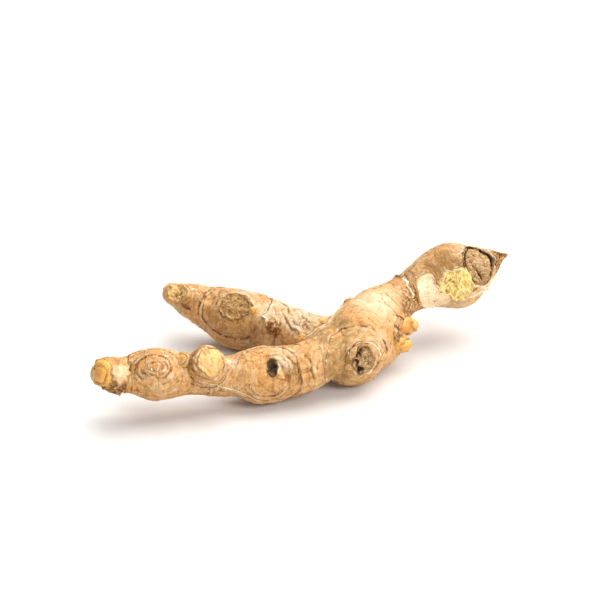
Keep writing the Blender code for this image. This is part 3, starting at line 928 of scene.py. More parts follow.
def where(field, absent, full, colour, amount, **more):
    """A colour layer that is absent at one value of a kept field and full at the other."""
    return dict(kind="field", field=field, between=(absent, full), colour=colour, amount=amount, **more)


def layered_material(name, colour, layers, roughness, bumps, flesh=0.1):
    """A finish of colour layers over a first colour, with its gloss and its fine relief.

    Sizes of patterns are millimetres. places holds the millimetre coordinates that they lie in.
    """
    material = bpy.data.materials.new(name)
    material.use_nodes = True
    tree = material.node_tree
    tree.nodes.clear()
    in_metres = add_node(tree, "ShaderNodeTexCoord").outputs["Object"]
    places = {"place": add_node(tree, "ShaderNodeVectorMath", {"operation": "SCALE"}, {
        "Vector": in_metres, "Scale": 1 / MM}).outputs["Vector"]}
    for grain in ("ring_grain", "length_grain"):
        if any(layer.get("on") == grain for layer in (*layers, *bumps)):
            places[grain] = add_node(
                tree, "ShaderNodeAttribute", {"attribute_name": grain}).outputs["Vector"]
    shown = linear(colour)
    for layer in layers:
        shown = add_node(tree, "ShaderNodeMix", {"data_type": "RGBA", "clamp_factor": True}, {
            "Factor": layer_mask(tree, places, layer), "A": shown,
            "B": linear(layer["colour"])}).outputs["Result"]
        shown = next(s for s in shown.node.outputs if s.enabled)
    gloss_noise = add_node(tree, "ShaderNodeTexNoise", None, {
        "Vector": places["place"], "Scale": 1 / 1.7, "Detail": 3.0}).outputs["Fac"]
    gloss = add_node(tree, "ShaderNodeMapRange", None, {
        "Value": gloss_noise, "From Min": 0.3, "From Max": 0.7,
        "To Min": roughness[0], "To Max": roughness[1]}).outputs["Result"]
    normal = None
    for bump in bumps:
        inputs = {"Height": layer_mask(tree, places, bump), "Distance": bump["height"] * MM, "Strength": 1.0}
        if normal:
            inputs["Normal"] = normal
        normal = add_node(tree, "ShaderNodeBump", None, inputs).outputs["Normal"]
    shader = add_node(tree, "ShaderNodeBsdfPrincipled", None, {
        "Base Color": shown, "Roughness": gloss, "IOR": 1.45, "Specular IOR Level": 0.4,
        "Subsurface Weight": flesh, "Subsurface Radius": (1.0, 0.55, 0.25), "Subsurface Scale": 1.5 * MM})
    if normal:
        tree.links.new(normal, shader.inputs["Normal"])
    add_node(tree, "ShaderNodeOutputMaterial", None, {"Surface": shader.outputs[0]})
    return material


def skin_finish(look):
    """Fresh ginger skin: a thin corky layer, dry and papery where a sheath leaf covered it.

    It gives the eye a satin golden tan with cream where the layer is scuffed, fine lines that run with
    the growth rings, and dark brown in every groove. Every hollow of the relief is darkened, partly the
    brown of grooves, splits and pores and partly painted shade. Every rise is paled, partly scuffed cream
    and partly painted highlight. The pale places carry painted highlight too, and the olive places painted
    shade.
    """
    light, deep, ochre = look.light_colour, look.deep_colour, look.ochre_colour
    layers = (
        patch(13, 0.40, 0.62, light, 0.7),
        patch(5, 0.46, 0.66, ochre, 0.6, swirl=0.5),
        patch(2.4, 0.50, 0.66, deep, 0.36, detail=6.0),
        patch(1.3, 0.50, 0.40, "E3C596", 0.5, detail=5.0),
        # Painted shade: darker in every hollow of the relief, partly the brown of grooves, splits and pores.
        where("relief", -0.02, -0.30, deep, 0.6),
        # Paler where the pale tone lies: partly dry cream skin, partly painted highlight on the tops of the
        # limbs.
        patch(3.6, 0.30, 0.55, "DDBD94", 0.75, within=("pale",)),
        where("pale", 0.1, 1.1, "F2DDBA", 0.8, broken=2.4),
        patch(2.6, 0.30, 0.6, "E3A850", 0.75, within=("yellow",)),
        # Olive where the olive tone lies: partly the skin's own tint, partly painted shade.
        patch(3.0, 0.30, 0.6, "A37C41", 0.8, within=("olive",)),
        patch(1.2, 0.50, 0.68, deep, 0.32, on="ring_grain"),
        patch(0.9, 0.46, 0.32, "EFD8B0", 0.4, on="ring_grain", broken=4.0),
        patch(0.75, 0.54, 0.72, deep, 0.3, on="length_grain", broken=6.0),
        patch(1.8, 0.36, 0.60, "83551F", 0.9, within=("brown_tone",), detail=6.0),
        patch(0.9, 0.50, 0.66, "53300F", 0.85, within=("brown_tone",)),
        # Paler on every rise of the relief: partly scuffed cream, partly painted highlight.
        where("relief", 0.10, 0.45, "F6E4C2", 0.65),
        # Darker still in deep hollows: partly brown grooves and splits, partly painted shade.
        where("relief", -0.12, -0.5, "724411", 0.85),
        where("stain", 0.1, 0.9, "8D5D2A", 0.6, broken=1.6),
        where("ring_gap", 1.6, 0.2, "915F27", 0.55, within=("ring_side", "ring_strength")),
        where("ring_near", 0.52, 0.86, "5C3412", 1.0, within=("ring_strength",), broken=1.3),
        where("brown_line", 0.3, 0.9, "452A14", 0.9, broken=0.9),
        patch(2.7, 0.17, 0.08, "6B4524", 0.6, kind="F1"),
        patch(1.4, 0.16, 0.09, "7A5128", 0.45, kind="F1", broken=5.0),
    )
    bumps = (
        dict(size=0.9, on="ring_grain", height=0.25, detail=2.0),
        dict(size=0.7, on="length_grain", height=0.16, detail=2.0),
        dict(size=0.6, height=0.22, detail=4.0),
    )
    return layered_material(
        "papery ginger skin", look.colour, layers, look.roughness_range, bumps, flesh=0.04)


# ---------------------------------------------------------------- sizes and colours to change


def factor(name, description, default=1.0, most=3):
    return FloatProperty(
        name=name, description=description, default=default, min=0, max=most, subtype="FACTOR")


def colour_choice(name, description, default):
    return FloatVectorProperty(
        name=name, description=description, subtype="COLOR", size=4, default=linear(default))


class GingerSkin(bpy.types.PropertyGroup):
    mesh_step: FloatProperty(
        name="Mesh step", description="Side of one face of the skin", default=0.58 * MM,
        min=0.4 * MM, max=2 * MM, unit="LENGTH", precision=5)
    lump_height: FloatProperty(
        name="Lumps", description="How far the skin swells and sinks between its rings",
        default=0.55 * MM, min=0, max=2 * MM, unit="LENGTH", precision=5)
    ring_depth: factor("Ring depth", "How strongly the growth rings stand out")
    split_depth: factor("Split depth", "How deep the splits and torn edges are")
    wrinkle_depth: factor("Wrinkle depth", "How strongly the skin is wrinkled")
    colour: colour_choice("Skin", "Main colour of the skin", "D69B55")
    light_colour: colour_choice("Light skin", "Colour where the skin is thin", "E6BC84")
    ochre_colour: colour_choice("Ochre skin", "Colour of the warmer patches", "C47E32")
    # The deep colour also darkens the skin's hollows, partly as painted shade.
    deep_colour: colour_choice("Deep skin", "Colour of the darkest mottling", "8B4F19")
    roughness_range: FloatVectorProperty(
        name="Roughness", description="Lowest and highest roughness of the skin", size=2,
        default=(0.40, 0.60), min=0, max=1)


class GingerGrowth(bpy.types.PropertyGroup):
    ring_cover: factor("Ring shreds", "Share of each ring that keeps its torn shreds", 0.10, 1)
    warts: FloatProperty(
        name="Warts", description="Corky warts for each square metre", default=9000, min=0)
    root_hairs: FloatProperty(
        name="Root hairs", description="Dried root hairs under the root for each square metre",
        default=6000, min=0)
    fibres: FloatProperty(
        name="Torn fibres", description="Fibres for each square metre of torn flesh", default=0.45e6, min=0)


class GingerStage(bpy.types.PropertyGroup):
    view_from: FloatVectorProperty(
        name="Camera", description="Where the camera stands", size=3, subtype="TRANSLATION",
        unit="LENGTH", default=(-0.0055, -0.5602, 0.3070))
    look_at: FloatVectorProperty(
        name="Aim", description="The point that the camera looks at", size=3, subtype="TRANSLATION",
        unit="LENGTH", default=(-0.0055, 0.0689, 0.0001))
    lens: FloatProperty(
        name="Lens", description="Focal length in millimetres", default=85.0, min=20, max=200)
    key_strength: FloatProperty(
        name="Key light", description="Strength of the soft light above and behind", default=3.9, min=0)
    key_width: FloatProperty(
        name="Key width", description="How wide the key light looks from the root", default=math.radians(66),
        min=0, max=math.pi, subtype="ANGLE")
    fill_power: FloatProperty(
        name="Fill light", description="Power of the light in front", default=13.0, min=0, unit="POWER")
    sky: FloatProperty(
        name="Room light", description="Strength of the white room", default=0.45, min=0)


# ---------------------------------------------------------------- pieces


class OBJECT_OT_ginger_skin(bpy.types.Operator):
    """Grows the skin out of the CAD solid and works its rings, wrinkles, splits and scars"""
    bl_idname = "object.ginger_skin"
    bl_label = "Ginger skin"

    def execute(self, context):
        look = context.scene.ginger_skin
        skin = finished("skin", self.fine_mesh(look))
        data = skin.data
        points = coordinates(data)
        # The limbs swell and sink a little, apart from where the root lies on the floor.
        clear = smooth_step(1.0, 5.0, points[:, 2])
        lumps = (noise(points, 11, 1, 2) + 0.35 * noise(points, 5, 2)) * look.lump_height / MM
        for x, y, z, reach, height in BULGES:
            lumps += height * bell(away_from(points, (x, y, z)), reach)
        set_coordinates(data, points + point_normals(data) * (lumps * clear)[:, None])

        work = Skin(coordinates(data), point_normals(data))
        add_rings(work, look.ring_depth)
        add_splits(work, look.split_depth)
        bed = add_scars(work)
        add_wrinkles(work, look.wrinkle_depth)
        # This copy of the relief drives the skin's colour: its hollows darkened, partly as painted shade, and
        # its rises paled, partly as painted highlight.
        shade = work.relief.copy()
        add_collars(work)
        add_tones(work)
        work.lay(work.relief - bed)
        work.points[:, 2] = np.maximum(work.points[:, 2], FLOOR_GAP)
        set_coordinates(data, work.points)
        self.keep_fields(data, work)
        keep_field(data, "relief", shade)
        data.shade_smooth()
        data.materials.clear()
        data.materials.append(skin_finish(look))
        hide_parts(NODE)
        return {"FINISHED"}

    def fine_mesh(self, look):
        """A copy of the CAD solid with even small faces and no edges showing."""
        solid = bmesh.new()
        solid.from_mesh(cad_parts[NODE].data)
        bmesh.ops.remove_doubles(solid, verts=solid.verts, dist=0.001 * MM)
        data = bpy.data.meshes.new("skin")
        solid.to_mesh(data)
        solid.free()
        rough = bpy.data.objects.new("rough_skin", data)
        bpy.context.scene.collection.objects.link(rough)
        rounding = rough.modifiers.new("rounding", "SUBSURF")
        rounding.levels = rounding.render_levels = 2
        remesh = rough.modifiers.new("even faces", "REMESH")
        remesh.mode = "VOXEL"
        remesh.voxel_size = look.mesh_step
        smooth = rough.modifiers.new("smooth", "SMOOTH")
        smooth.factor = 0.5
        smooth.iterations = 6
        fine = evaluated_mesh(rough)
        bpy.data.objects.remove(rough)
        bpy.data.meshes.remove(data)
        fine.name = "skin"
        return fine

    def keep_fields(self, data, work):
        keep_field(data, "ring_gap", work.ring_gap)
        keep_field(data, "ring_side", work.ring_gap > -0.3)
        keep_field(data, "ring_near", np.clip(1 - np.abs(work.ring_gap), 0, 1))
        keep_field(data, "ring_strength", work.ring_strength)
        keep_field(data, "brown_line", work.brown)
        keep_field(data, "stain", work.stain)
        for tone in ("pale", "yellow", "olive"):
            keep_field(data, tone, work.tones[tone])
        keep_field(data, "brown_tone", work.tones["brown"])
        # Fine lines run round the limb on ring_grain and down it on length_grain.
        keep_vectors(data, "ring_grain", np.column_stack([work.ring_field, work.cross * 0.12]))
        keep_vectors(data, "length_grain", np.column_stack([work.along * 0.12, work.cross]))


def face_height(name, look, u, v, ratio, angle):
    """How a scar's face swells and sinks from its own level, in millimetres."""
    flat = np.column_stack([u, v, np.full(len(u), len(name) * 3.0)])
    size, height = look["grain"]
    relief = look["dome"] * (1 - np.clip(ratio, 0, 1) ** 2) + height * noise(flat, size, 31, 3)
    relief = relief + 0.35 * height * noise(flat, size * 0.35, 32, 2)
    if "fibre" in look:
        size, height = look["fibre"]
        turned = np.column_stack([angle * 2.2 / size, ratio * 1.2, np.zeros(len(u))])
        relief = relief + height * noise(turned, 1.0, 33, 2) * np.clip(ratio * 1.6, 0, 1)
    if "furrow" in look:
        place, width, depth = look["furrow"]
        depth = depth * np.clip(0.8 + 1.1 * noise(flat, 3.4, 36), 0.1, 1.4)
        relief = relief - depth * bell(ratio - place + 0.04 * noise(flat, 2.0, 34), width)
    for across, up, radius, depth in look.get("hollows", ()):
        away = np.hypot(u - across, v - up) + 0.35 * radius * noise(flat, radius * 1.1, 35)
        relief = relief - depth * bell(away, radius)
    return relief


def scar_face(name, tree, material):
    """A closed plate that fills a scar, laid on the skin ray by ray, with its edge tucked under the rim."""
    scar, look = SCARS[name], SCAR_FACES[name]
    across, up, out = face_axes(scar["out"])
    step, overlap, plate_depth, thinnest, tuck = 0.26, 1.1, 1.1, 0.12, 0.4
    widest = max(scar["half"])
    rings, spokes = math.ceil(overlap * widest / step), math.ceil(2 * math.pi * widest / (1.2 * step))
    ratio = np.repeat(np.arange(1, rings + 1) / rings * overlap, spokes)
    angle = np.tile(np.arange(spokes) / spokes * 2 * math.pi, rings)
    turned = short_way(angle)
    reach = scar_reach(name, scar, turned) * ratio
    ratio, angle = np.append(ratio, 0), np.append(turned, 0)
    u, v = np.append(reach * np.cos(turned), 0), np.append(reach * np.sin(turned), 0)
    starts = np.array(scar["at"]) + u[:, None] * across + v[:, None] * up
    base = np.array([laid(tree, start, out)[0] for start in starts])
    relief = face_height(name, look, u, v, ratio, angle)
    tucked = smooth_step(0.92, 1.06, ratio)
    lift = look["lift"] + FACE_BED * (name != "star_scab")
    level = np.maximum(lift + relief, thinnest)
    top = base + out * (level * (1 - tucked) - tuck * tucked)[:, None]
    bottom = base - out * plate_depth
    count, middle = len(top), rings * spokes
    faces = []
    for spoke in range(spokes):
        following = (spoke + 1) % spokes
        faces.append((middle, spoke, following))
        faces.append((middle + count, following + count, spoke + count))
        for ring in range(rings - 1):
            a, b = ring * spokes + spoke, ring * spokes + following
            c, d = a + spokes, b + spokes
            faces.append((a, c, d, b))
            faces.append((b + count, d + count, c + count, a + count))
        edge_a, edge_b = (rings - 1) * spokes + spoke, (rings - 1) * spokes + following
        faces.append((edge_a, edge_a + count, edge_b + count, edge_b))
    fields = {"relief": np.tile(relief, 2), "edge": np.tile(ratio, 2)}
    return mesh_of(name, np.vstack([top, bottom]), faces, fields, material)


def scar_finishes(wanted=None):
    """The dry, healed and torn faces of the scars, by name."""
    dark, brown, tan = "33241A", "8A623A", "C39763"
    finishes = {
        # Where a leafy stem dried off: corky and granular, tan and brown, with near-black pits. It darkens
        # with depth, partly its own brown and partly painted shade in the pits, and pales on its highest
        # grains, partly dry grain and partly painted highlight.
        "dry stem scab": (tan, (
            patch(2.4, 0.44, 0.62, brown, 0.6),
            patch(1.1, 0.46, 0.64, "E3C08C", 0.85),
            patch(0.6, 0.52, 0.66, "6A4524", 0.65),
            where("relief", 0.2, -0.6, "5A3A1E", 0.85),
            where("relief", -0.4, -1.1, dark, 0.95),
            where("relief", 0.7, 1.4, "DDBE94", 0.6),
            where("edge", 0.88, 1.0, "4A321E", 0.9, broken=3.4),
        ), (0.75, 0.92), (dict(size=0.45, height=0.35), dict(kind="F1", size=0.6, height=0.25)), 0.02),
        # Broken open not long ago: wet pale yellow flesh with coarse fibres, amber brown in its pits. The
        # amber deepens with depth, partly browned flesh and partly painted shade, and its rises pale, partly
        # pale fibre and partly painted highlight.
        "torn ginger flesh": ("FFE48A", (
            patch(1.6, 0.42, 0.6, "FFF0B4", 0.8),
            patch(0.8, 0.5, 0.66, "F7C53E", 0.55),
            where("relief", -0.3, -1.6, "B07818", 0.85),
            where("relief", 0.6, 1.8, "FFF7C6", 0.8),
            where("edge", 0.86, 1.0, "E7CFA0", 0.9),
        ), (0.4, 0.6), (dict(size=0.4, height=0.3), ), 0.0),
        # Skin sliced away and dried: flat cream flesh with the brown dots of cut fibres. It is darker in its
        # small dips, partly brown fibre ends and partly painted shade.
        "peeled ginger flesh": ("EFD3AC", (
            patch(4.0, 0.4, 0.62, "E6C394", 0.6),
            patch(1.2, 0.5, 0.68, "F9E6C8", 0.7),
            patch(1.0, 0.32, 0.2, "A0682C", 0.9, kind="F1", broken=1.2),
            where("relief", -0.1, -0.35, "8A6236", 0.8),
            where("edge", 0.93, 1.0, "C49A62", 0.8),
        ), (0.55, 0.7), (dict(size=0.6, height=0.1), ), 0.2),
        # Where a side shoot was cut and has healed over: pale yellow, drawn into folds. The folds darken with
        # depth, partly their own brown and partly painted shade.
        "healed cut": ("E2B46E", (
            patch(2.4, 0.4, 0.62, "EBCB8E", 0.75),
            patch(1.0, 0.52, 0.68, "D2A55E", 0.55),
            where("relief", 0.1, -0.5, "B98C4C", 0.75),
            where("relief", -0.5, -1.1, "5E4023", 0.9),
            where("edge", 0.8, 1.0, "C29257", 0.8),
        ), (0.45, 0.65), (dict(size=0.7, height=0.15), ), 0.15),
        # A graze that has dried to a brown crust with ochre showing between. Its hollows are darker, partly
        # crust and partly painted shade.
        "healed crust": ("BF935A", (
            patch(2.2, 0.42, 0.6, "94703F", 0.8),
            patch(1.2, 0.5, 0.66, "D8B27A", 0.8),
            patch(0.6, 0.54, 0.68, "5C432C", 0.7),
            where("relief", 0.0, -0.7, "4F3722", 0.85),
            where("edge", 0.82, 0.98, "6F4D2C", 0.6, broken=1.5),
        ), (0.65, 0.85), (dict(size=0.5, height=0.3), ), 0.03),
        # A scale of old skin stuck on in a lobed plate.
        "scab plate": ("E2B987", (
            patch(2.0, 0.42, 0.6, "F2D6AE", 0.8),
            patch(0.9, 0.52, 0.68, "C4935A", 0.6),
            where("edge", 0.72, 1.0, "B07F48", 0.7),
        ), (0.55, 0.75), (dict(size=0.6, height=0.2), ), 0.05),
        # A hole: dark brown with darker and paler blotches, near black where it sinks deepest, which is
        # painted shade.
        "dark hollow": ("8A6A46", (
            patch(1.4, 0.42, 0.6, "43301E", 0.85),
            patch(0.6, 0.55, 0.7, "B59A74", 0.6),
            where("relief", 0.1, -0.5, "1E1710", 0.8),
        ), (0.8, 0.95), (dict(size=0.5, height=0.3), ), 0.0),
    }
    return {name: layered_material(name, *facts) for name, facts in finishes.items()
            if wanted is None or name in wanted}


class OBJECT_OT_ginger_scars(bpy.types.Operator):
    """Fills the scars with their scabs, healed cuts and torn or peeled flesh"""
    bl_idname = "object.ginger_scars"
    bl_label = "Scars"

    def execute(self, context):
        tree, finishes = surface_tree(), scar_finishes()
        for name, look in SCAR_FACES.items():
            finished(name, scar_face(name, tree, finishes[look["finish"]]))
        return {"FINISHED"}


def bud_profile(t, bud):
    """Radius of the bud at this share of its height: a dome, or a blunt cone if the bud is long."""
    t = np.clip(t, -0.6, 1)
    dome = np.sqrt(np.clip(1 - np.clip(t, 0, 1) ** 2, 0, 1))
    cone = (1 - 0.5 * np.clip(t, 0, 1)) * np.sqrt(np.clip(1 - np.clip(t, 0, 1) ** 9, 0, 1))
    long = smooth_step(0.9, 1.8, bud["height"] / bud["radius"])
    flare = 1 + 0.12 * np.clip(-t, 0, 1)
    return bud["radius"] * (dome * (1 - long) + cone * long) * flare


def bud_mesh(name, bud, material, seed):
    """A bud: a round heart, wrapped by scale leaves whose free edges stand off it."""
    across, up, out = face_axes(bud["out"])
    # foot is where the scale leaves start, as a share of the bud's height. As shares of its radius,
    # spread is how much further out each leaf lies than the one inside it, and leaf its thickness.
    spokes, leaf_rows, foot, spread, leaf = 48, 12, -0.45, 0.11, 0.07
    turn = np.arange(spokes) / spokes * 2 * math.pi
    circle = np.stack([np.cos(turn), np.sin(turn)], 1)
    points, rise, rim = [], [], []

    def place(radius, height):
        """A ring of points at this radius and height, a little out of round."""
        flat = circle * np.reshape(radius, (-1, 1))
        wave = 1 + 0.05 * noise(np.column_stack([flat, np.full(spokes, seed * 3.0)]), 2.5, seed)
        flat = flat * wave[:, None]
        return flat[:, :1] * across + flat[:, 1:] * up + np.reshape(height, (-1, 1)) * out

    levels = np.concatenate([[-0.5], np.linspace(-0.2, 0.9, 14), [0.95, 0.98, 0.995]])
    for level in levels:
        points.append(place(np.full(spokes, bud_profile(level, bud)),
                            np.full(spokes, level * bud["height"])))
        rise.append(np.full(spokes, level))
        rim.append(np.zeros(spokes))
    faces = bands(len(levels), spokes)
    tip, last_row = len(levels) * spokes, (len(levels) - 1) * spokes
    points.append(np.array([out * bud["height"], out * bud["height"] * -0.5]))
    rise.append(np.array([1.0, -0.5]))
    rim.append(np.zeros(2))
    for i in range(spokes):
        faces.append((tip, last_row + i, last_row + (i + 1) % spokes))
        faces.append((tip + 1, (i + 1) % spokes, i))

    count = tip + 2
    for scale in range(bud["scales"]):
        high = 0.74 - 0.55 * scale / max(1, bud["scales"] - 1)
        lean = seed * 2.1 + scale * 2.4
        thick = (scale + 1) * spread * bud["radius"]
        wave = noise(np.column_stack([circle * 3, np.full(spokes, scale * 5.0 + seed)]), 1.6, seed + 9)
        edge = high * (1 + 0.18 * np.cos(turn - lean) + 0.1 * wave)
        for row in range(leaf_rows):
            share = row / (leaf_rows - 1)
            level = foot + (edge - foot) * share
            flare = 0.10 * bud["radius"] * share ** 6 * (1 + wave)
            radius = bud_profile(level, bud) + thick * (1 - 0.45 * share) + flare
            points.append(place(radius, level * bud["height"]))
            rise.append(level)
            rim.append(np.full(spokes, smooth_step(0.72, 1.0, share)))
        for share in (1.0, 0.8, 0.0):
            level = foot + (edge - foot) * share
            radius = bud_profile(level, bud) + thick * (1 - 0.45 * share) - leaf * bud["radius"]
            points.append(place(radius, level * bud["height"] - 0.02 * bud["height"]))
            rise.append(level)
            rim.append(np.full(spokes, 0.9 * share))
        faces += bands(leaf_rows + 3, spokes, first=count, closed=True)
        count += (leaf_rows + 3) * spokes
    points = np.vstack(points) + np.array(bud["at"], float)
    fields = {"rise": np.concatenate(rise), "rim": np.concatenate(rim),
              "ripe": np.full(len(points), bud["ripe"])}
    return mesh_of(name, points, faces, fields, material)


def bud_finish():
    """Live buds: firm, moist scale leaves that shine, waxy yellow below and browned at their free edges."""
    return layered_material("waxy bud scale", "CFA069", (
        patch(3.0, 0.38, 0.62, "E2BD88", 0.7),
        where("ripe", 0.1, 0.9, "F0AE4C", 0.9),
        patch(1.6, 0.48, 0.66, "D88E34", 0.6, within=("ripe",)),
        patch(1.3, 0.5, 0.64, "F7D48C", 0.5, within=("ripe",)),
        where("rise", 0.86, 1.0, "C07E46", 0.6),
        where("rise", 0.15, -0.2, "A87440", 0.7),
        where("rim", 0.1, 0.9, "96663A", 0.75, broken=1.2),
        patch(0.7, 0.56, 0.7, "8C5A2C", 0.35),
    ), (0.3, 0.48), (dict(size=0.6, height=0.1), dict(size=2.0, height=0.25)), 0.3)


class OBJECT_OT_ginger_buds(bpy.types.Operator):
    """Sets the live and dormant buds on the skin"""
    bl_idname = "object.ginger_buds"
    bl_label = "Buds"

    def execute(self, context):
        live, crusted = bud_finish(), scar_finishes(("healed crust",))["healed crust"]
        for seed, (name, bud) in enumerate(BUDS.items()):
            material = crusted if bud.get("crusted") else live
            finished(name, bud_mesh(name, bud, material, seed + 1))
        return {"FINISHED"}


def fringe_mesh(name, fringe, tree, material, seed):
    """A thin torn edge that stands off the skin along a line, closed all round."""
    step, half_thickness, buried_depth = 0.3, 0.11, 0.5
    path = smooth_path(fringe["line"], 10)
    way = np.concatenate([[0], np.cumsum(np.linalg.norm(np.diff(path, axis=0), axis=1))])
    steps = math.ceil(way[-1] / step)
    even = np.linspace(0, way[-1], steps)
    path = np.column_stack([np.interp(even, way, path[:, k]) for k in range(3)])
    tangents = unit(np.gradient(path, axis=0))
    share = even / way[-1]
    ends = smooth_step(0, 0.12, share) * smooth_step(0, 0.12, 1 - share)
    tatter = noise(np.column_stack([even, np.zeros((steps, 2))]), 1.3, seed, 3)
    tall = fringe["height"] * ends * np.clip(0.75 + fringe["ragged"] * tatter, 0.12, 1.5)
    curl = 0.4 * noise(np.column_stack([even, np.ones((steps, 2))]), 3.0, seed + 50)
    rows, height = [], []
    for place, tangent, reach, bend in zip(path, tangents, tall, curl):
        found, normal, _, _ = tree.find_nearest(Vector(place))
        foot, normal = np.array(found), np.array(normal)
        side = np.cross(tangent, normal)
        way_up = unit(normal * (1 - 0.55 * abs(fringe["lean"])) + side * fringe["lean"])
        over = unit(normal * 0.2 + side * np.sign(fringe["lean"]) + normal * bend)
        mid = foot + way_up * reach * 0.55
        tip = mid + unit(way_up + 0.8 * over) * reach * 0.45
        thick = unit(np.cross(tangent, way_up)) * half_thickness
        buried = foot - normal * buried_depth
        rows.append([buried - thick * 1.6, foot - thick * 1.3, mid - thick, tip - thick * 0.4,
                     tip + thick * 0.4, mid + thick, foot + thick * 1.3, buried + thick * 1.6])
        height.append([0, 0, 0.55, 1, 1, 0.55, 0, 0])
    points, count = np.array(rows).reshape(-1, 3), 8
    faces = bands(steps, count)
    faces.append(tuple(range(count)))
    faces.append(tuple(reversed(range((steps - 1) * count, steps * count))))
    return mesh_of(name, points, faces, {"height": np.array(height).ravel()}, material)


def paper_finishes():
    """Dried sheath leaf, which tears like thin paper: cream where it is clean, brown where it is old."""
    return {
        "pale sheath paper": layered_material("pale sheath paper", "E9D2A8", (
            patch(1.4, 0.4, 0.62, "F6E8CB", 0.8),
            patch(0.7, 0.52, 0.68, "C79E68", 0.55),
            where("height", 0.3, 0.0, "A87C4A", 0.6),
        ), (0.6, 0.8), (dict(size=0.5, height=0.12), ), 0.1),
        "brown sheath paper": layered_material("brown sheath paper", "9A6E40", (
            patch(1.4, 0.42, 0.6, "C69A64", 0.75),
            patch(0.8, 0.5, 0.66, "5C3B20", 0.75),
            where("height", 0.35, 0.0, "4E321B", 0.7),
        ), (0.65, 0.85), (dict(size=0.5, height=0.15), ), 0.05),
    }


class OBJECT_OT_ginger_fringes(bpy.types.Operator):
    """Stands the torn edges of the sheath leaves off the skin"""
    bl_idname = "object.ginger_fringes"
    bl_label = "Torn edges"

    def execute(self, context):
        tree, finishes = surface_tree(), paper_finishes()
        for seed, (name, fringe) in enumerate(FRINGES.items()):
            finished(name, fringe_mesh(name, fringe, tree, finishes[fringe["finish"]], 300 + seed))
        return {"FINISHED"}


def shred_mesh(name, length, width, curl, seed):
    """One torn shred or fibre, closed: it rises along Z, thins to its tip and curls over Y."""
    rng = np.random.default_rng(seed)
    points, rows = [], 4
    for row in range(rows + 1):
        t = row / rows
        half = width / 2 * (1 - 0.75 * t ** 1.5) * (1 + 0.25 * rng.uniform(-1, 1))
        bend, rise = curl * t * t, length * t * (1 - 0.25 * abs(curl) * t)
        thick = 0.09 * (1 - 0.6 * t)
        for x, y in ((-half, -thick), (half, -thick), (half, thick), (-half, thick)):
            points.append((x, y + bend * length, rise))
    faces = bands(rows + 1, 4) + [(3, 2, 1, 0), tuple(range(rows * 4, rows * 4 + 4))]
    return mesh_of(name, points, faces, {"height": np.repeat(np.arange(rows + 1) / rows, 4)})


def nub_mesh(name, seed):
    """One low wart of corky skin, 1 mm across, with a small crater in its top."""
    rng = np.random.default_rng(seed)
    rings = ((0.62, -0.3), (0.5, 0.05), (0.36, 0.2), (0.2, 0.24), (0.1, 0.16))
    points, spokes, last_ring = [], 9, len(rings) - 1
    for radius, height in rings:
        for i in range(spokes):
            turn, reach = 2 * math.pi * i / spokes, radius * (1 + 0.12 * rng.uniform(-1, 1))
            points.append((reach * math.cos(turn), reach * math.sin(turn), height))
    faces = bands(len(rings), spokes)
    faces += [tuple(reversed(range(spokes))), tuple(range(last_ring * spokes, len(rings) * spokes))]
    return mesh_of(name, points, faces, {"height": np.array([p[2] / 0.24 for p in points])})


